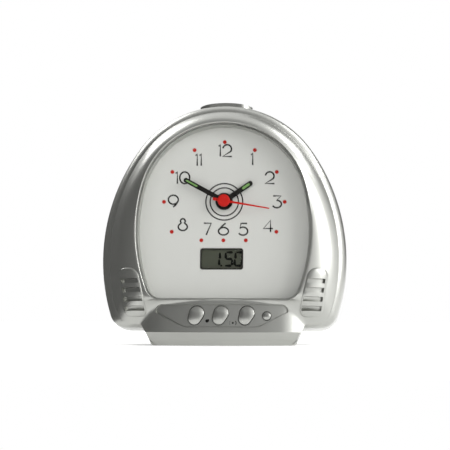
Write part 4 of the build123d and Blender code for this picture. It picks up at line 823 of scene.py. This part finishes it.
# Display digits: slanted seven-segment bars and the point after the hour
display = {"x": -1.1, "level": 45.8, "depth": 9.15, "height": 8.1, "width": 3.6, "bar": 1.2, "slant": 0.1,
           "film": 0.05, "gap": 0.25, "point": (1.1, 1.0), "pointAt": (-0.2, 0.6)}
# Where each bar stands: left, middle or right; a share of the height; and whether it is upright
barPlaces = {"a": (0, 1, 0), "b": (1, 0.75, 1), "c": (1, 0.25, 1), "d": (0, 0, 0), "e": (-1, 0.25, 1),
             "f": (-1, 0.75, 1), "g": (0, 0.5, 0)}
digitBars = {"1": "bc", "5": "afgcd", "0": "abcdef"}
digitPlaces = (("1", -2.9), ("5", 3.7), ("0", 8.7))


def bar(length, width):
    # A flat bar with pointed ends along x: a hexagon pulled apart
    bm = bmesh.new()
    tip = width / math.sqrt(3)
    bmesh.ops.create_circle(bm, cap_ends=True, segments=6, radius=tip)
    for vert in bm.verts:
        vert.co = Vector((vert.co.x + math.copysign(length / 2 - tip, vert.co.x), 0, vert.co.y))
    movedAlong(bm, bmesh.ops.extrude_face_region(bm, geom=bm.faces[:]), -display["film"])
    bmesh.ops.recalc_face_normals(bm, faces=bm.faces)
    return bm


def digitBar(x, letter):
    # One lit bar of a digit that stands at x
    side, level, upright = barPlaces[letter]
    inner = display["height"] - display["bar"]
    length = inner / 2 if upright else display["width"]
    piece = bar(length - display["gap"], display["bar"])
    if upright:
        piece.transform(Matrix.Rotation(math.pi / 2, 4, "Y"))
    z = (level - 0.5) * inner
    piece.transform(Matrix.Translation((x + side * display["width"] / 2 + z * display["slant"], 0, z)))
    return piece


bars = [digitBar(x, letter) for digit, x in digitPlaces for letter in digitBars[digit]]
point = bar(*display["point"])
point.transform(Matrix.Translation((display["pointAt"][0], 0, display["pointAt"][1] - display["height"] / 2)))
shown = joined([*bars, point])
shown.transform(Matrix.Translation((display["x"], display["depth"], display["level"])))
dress(toObject(shown, "displayDigits"), "case", "display_lcd", material=segmentInk)
print("display digits made")

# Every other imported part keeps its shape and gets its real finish
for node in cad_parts.values():
    for slot in node.material_slots:
        slot.material = finishes[slot.material.name.split(".")[0]]

# Floor, cards, light and camera, in metres
studio = {"worldDiffuse": 0.32, "floorGlow": 0.35, "floorSize": 0.9, "paperLift": 0.0001}
view = {"yaw": 3.5, "distance": 2.0, "lens": 312.4, "sensor": 36, "reach": 50,
        "target": (0.0005, -0.005, 0.0615)}
# Square lamps: place, size and power in watts. The unmirrored ones light without showing in gloss.
lamps = {"right": ((1.0, -0.5, 0.5), 0.7, 8.5), "upperRight": ((0.75, 0.35, 0.9), 0.5, 4.5),
         "upperLeft": ((-0.75, 0.6, 0.95), 0.6, 7.0), "front": ((0.3, -1.6, 0.9), 1.2, 3.6),
         "fill": ((-0.95, -1.35, 0.35), 1.0, 3.6)}
unmirrored = ("fill", "front")
# Grey cards that only gloss can see, for the silver paint: grey value, width, height, place
cards = {"leftCard": (0.085, 3.4, 1.7, (-1.15, -0.3, 0.5)),
         "frontCard": (0.22, 3.0, 2.4, (-0.25, -2.5, 0.6)),
         "topCard": (0.32, 1.5, 1.5, (-0.15, -0.55, 1.4)),
         "leftBackCard": (0.06, 1.1, 0.62, (-0.78, 1.0, 0.24)),
         "rightBackCard": (0.07, 1.3, 1.3, (0.75, 1.0, 0.62))}
# Grey paper on the floor at the left, seen in the same way
floorCard = {"grey": 0.085, "left": -0.9, "right": -0.072, "near": -0.6, "far": 0.4}


def seenBy(tree, path, *kinds):
    # One for a ray of any of these kinds, and zero for the others
    strongest = path.outputs[kinds[0]]
    for kind in kinds[1:]:
        step = addNode(tree, "ShaderNodeMath", {"operation": "MAXIMUM"})
        tree.links.new(strongest, step.inputs[0])
        tree.links.new(path.outputs[kind], step.inputs[1])
        strongest = step.outputs[0]
    return strongest


def floorMaterial():
    # White studio paper: white to the camera and in what mirrors it, and darker where the clock shades it
    material, tree = newMaterial("whiteStudioPaper")
    path = addNode(tree, "ShaderNodeLightPath", {})
    lit = addNode(tree, "ShaderNodeMath", {"operation": "MULTIPLY"})
    tree.links.new(seenBy(tree, path, "Is Camera Ray", "Is Glossy Ray", "Is Transmission Ray"), lit.inputs[0])
    lit.inputs[1].default_value = studio["floorGlow"]
    surface = addNode(tree, "ShaderNodeBsdfDiffuse", {"Color": linear("#FFFFFF")})
    glow = addNode(tree, "ShaderNodeEmission", {}, {"Strength": lit.outputs[0]})
    both = addNode(tree, "ShaderNodeAddShader", {})
    tree.links.new(surface.outputs[0], both.inputs[0])
    tree.links.new(glow.outputs[0], both.inputs[1])
    addNode(tree, "ShaderNodeOutputMaterial", {}, {"Surface": both.outputs[0]})
    return material


def cardMaterial(name, grey):
    # Grey card of an even tone
    material, tree = newMaterial(name)
    tone = addNode(tree, "ShaderNodeEmission", {"Color": (grey, grey, grey, 1.0), "Strength": 1.0})
    addNode(tree, "ShaderNodeOutputMaterial", {}, {"Surface": tone.outputs[0]})
    return material


def stageSheet(name, material, width, height, where):
    # A flat sheet that isn't part of the clock, set in its place
    sheet = bmesh.new()
    bmesh.ops.create_grid(sheet, x_segments=1, y_segments=1, size=0.5)
    sheet.transform(where @ Matrix.Diagonal((width, height, 1, 1)))
    made = toObject(sheet, name, Matrix.Identity(4))
    made.data.materials.append(material)
    return made


def greyCard(name, grey, width, height, where):
    # The card shows in the paint's gloss and neither shades nor lights anything
    card = stageSheet(name, cardMaterial(name + "Tone", grey), width, height, where)
    card.visible_camera = False
    card.visible_diffuse = False
    card.visible_transmission = False
    card.visible_shadow = False


centre = Vector(view["target"])
stageSheet("studioFloor", floorMaterial(), studio["floorSize"], studio["floorSize"], Matrix.Identity(4))
for name, (grey, width, height, at) in cards.items():
    facing = (centre - Vector(at)).to_track_quat("Z", "Y").to_matrix().to_4x4()
    greyCard(name, grey, width, height, Matrix.Translation(at) @ facing)
middle = ((floorCard["left"] + floorCard["right"]) / 2, (floorCard["near"] + floorCard["far"]) / 2,
          studio["paperLift"])
greyCard("leftFloorCard", floorCard["grey"], floorCard["right"] - floorCard["left"],
         floorCard["far"] - floorCard["near"], Matrix.Translation(middle))

world = bpy.data.worlds.new("studioWorld")
bpy.context.scene.world = world
world.use_nodes = True
tree = world.node_tree
tree.nodes.clear()
path = addNode(tree, "ShaderNodeLightPath", {})
room = addNode(tree, "ShaderNodeBackground", {"Color": linear("#FFFFFF"), "Strength": studio["worldDiffuse"]})
white = addNode(tree, "ShaderNodeBackground", {"Color": linear("#FFFFFF"), "Strength": 1.0})
seen = seenBy(tree, path, "Is Camera Ray", "Is Transmission Ray", "Is Glossy Ray")
mix = addNode(tree, "ShaderNodeMixShader", {}, {"Fac": seen})
tree.links.new(room.outputs[0], mix.inputs[1])
tree.links.new(white.outputs[0], mix.inputs[2])
addNode(tree, "ShaderNodeOutputWorld", {}, {"Surface": mix.outputs[0]})

for name, (at, size, power) in lamps.items():
    lamp = bpy.data.lights.new(name, "AREA")
    lamp.size = size
    lamp.energy = power
    holder = bpy.data.objects.new(name, lamp)
    bpy.context.scene.collection.objects.link(holder)
    holder.location = at
    holder.visible_glossy = name not in unmirrored
    holder.rotation_euler = (centre - Vector(at)).to_track_quat("-Z", "Y").to_euler()

camera = bpy.data.objects.new("camera", bpy.data.cameras.new("camera"))
camera.data.lens = view["lens"]
camera.data.sensor_width = view["sensor"]
yaw = math.radians(view["yaw"])
camera.location = centre + view["distance"] * Vector((math.sin(yaw), -math.cos(yaw), 0))
camera.rotation_euler = (math.pi / 2, 0, yaw)
camera.data.clip_end = view["reach"]
bpy.context.scene.collection.objects.link(camera)
bpy.context.scene.camera = camera
bpy.context.scene.view_settings.view_transform = "Standard"
print("studio made")
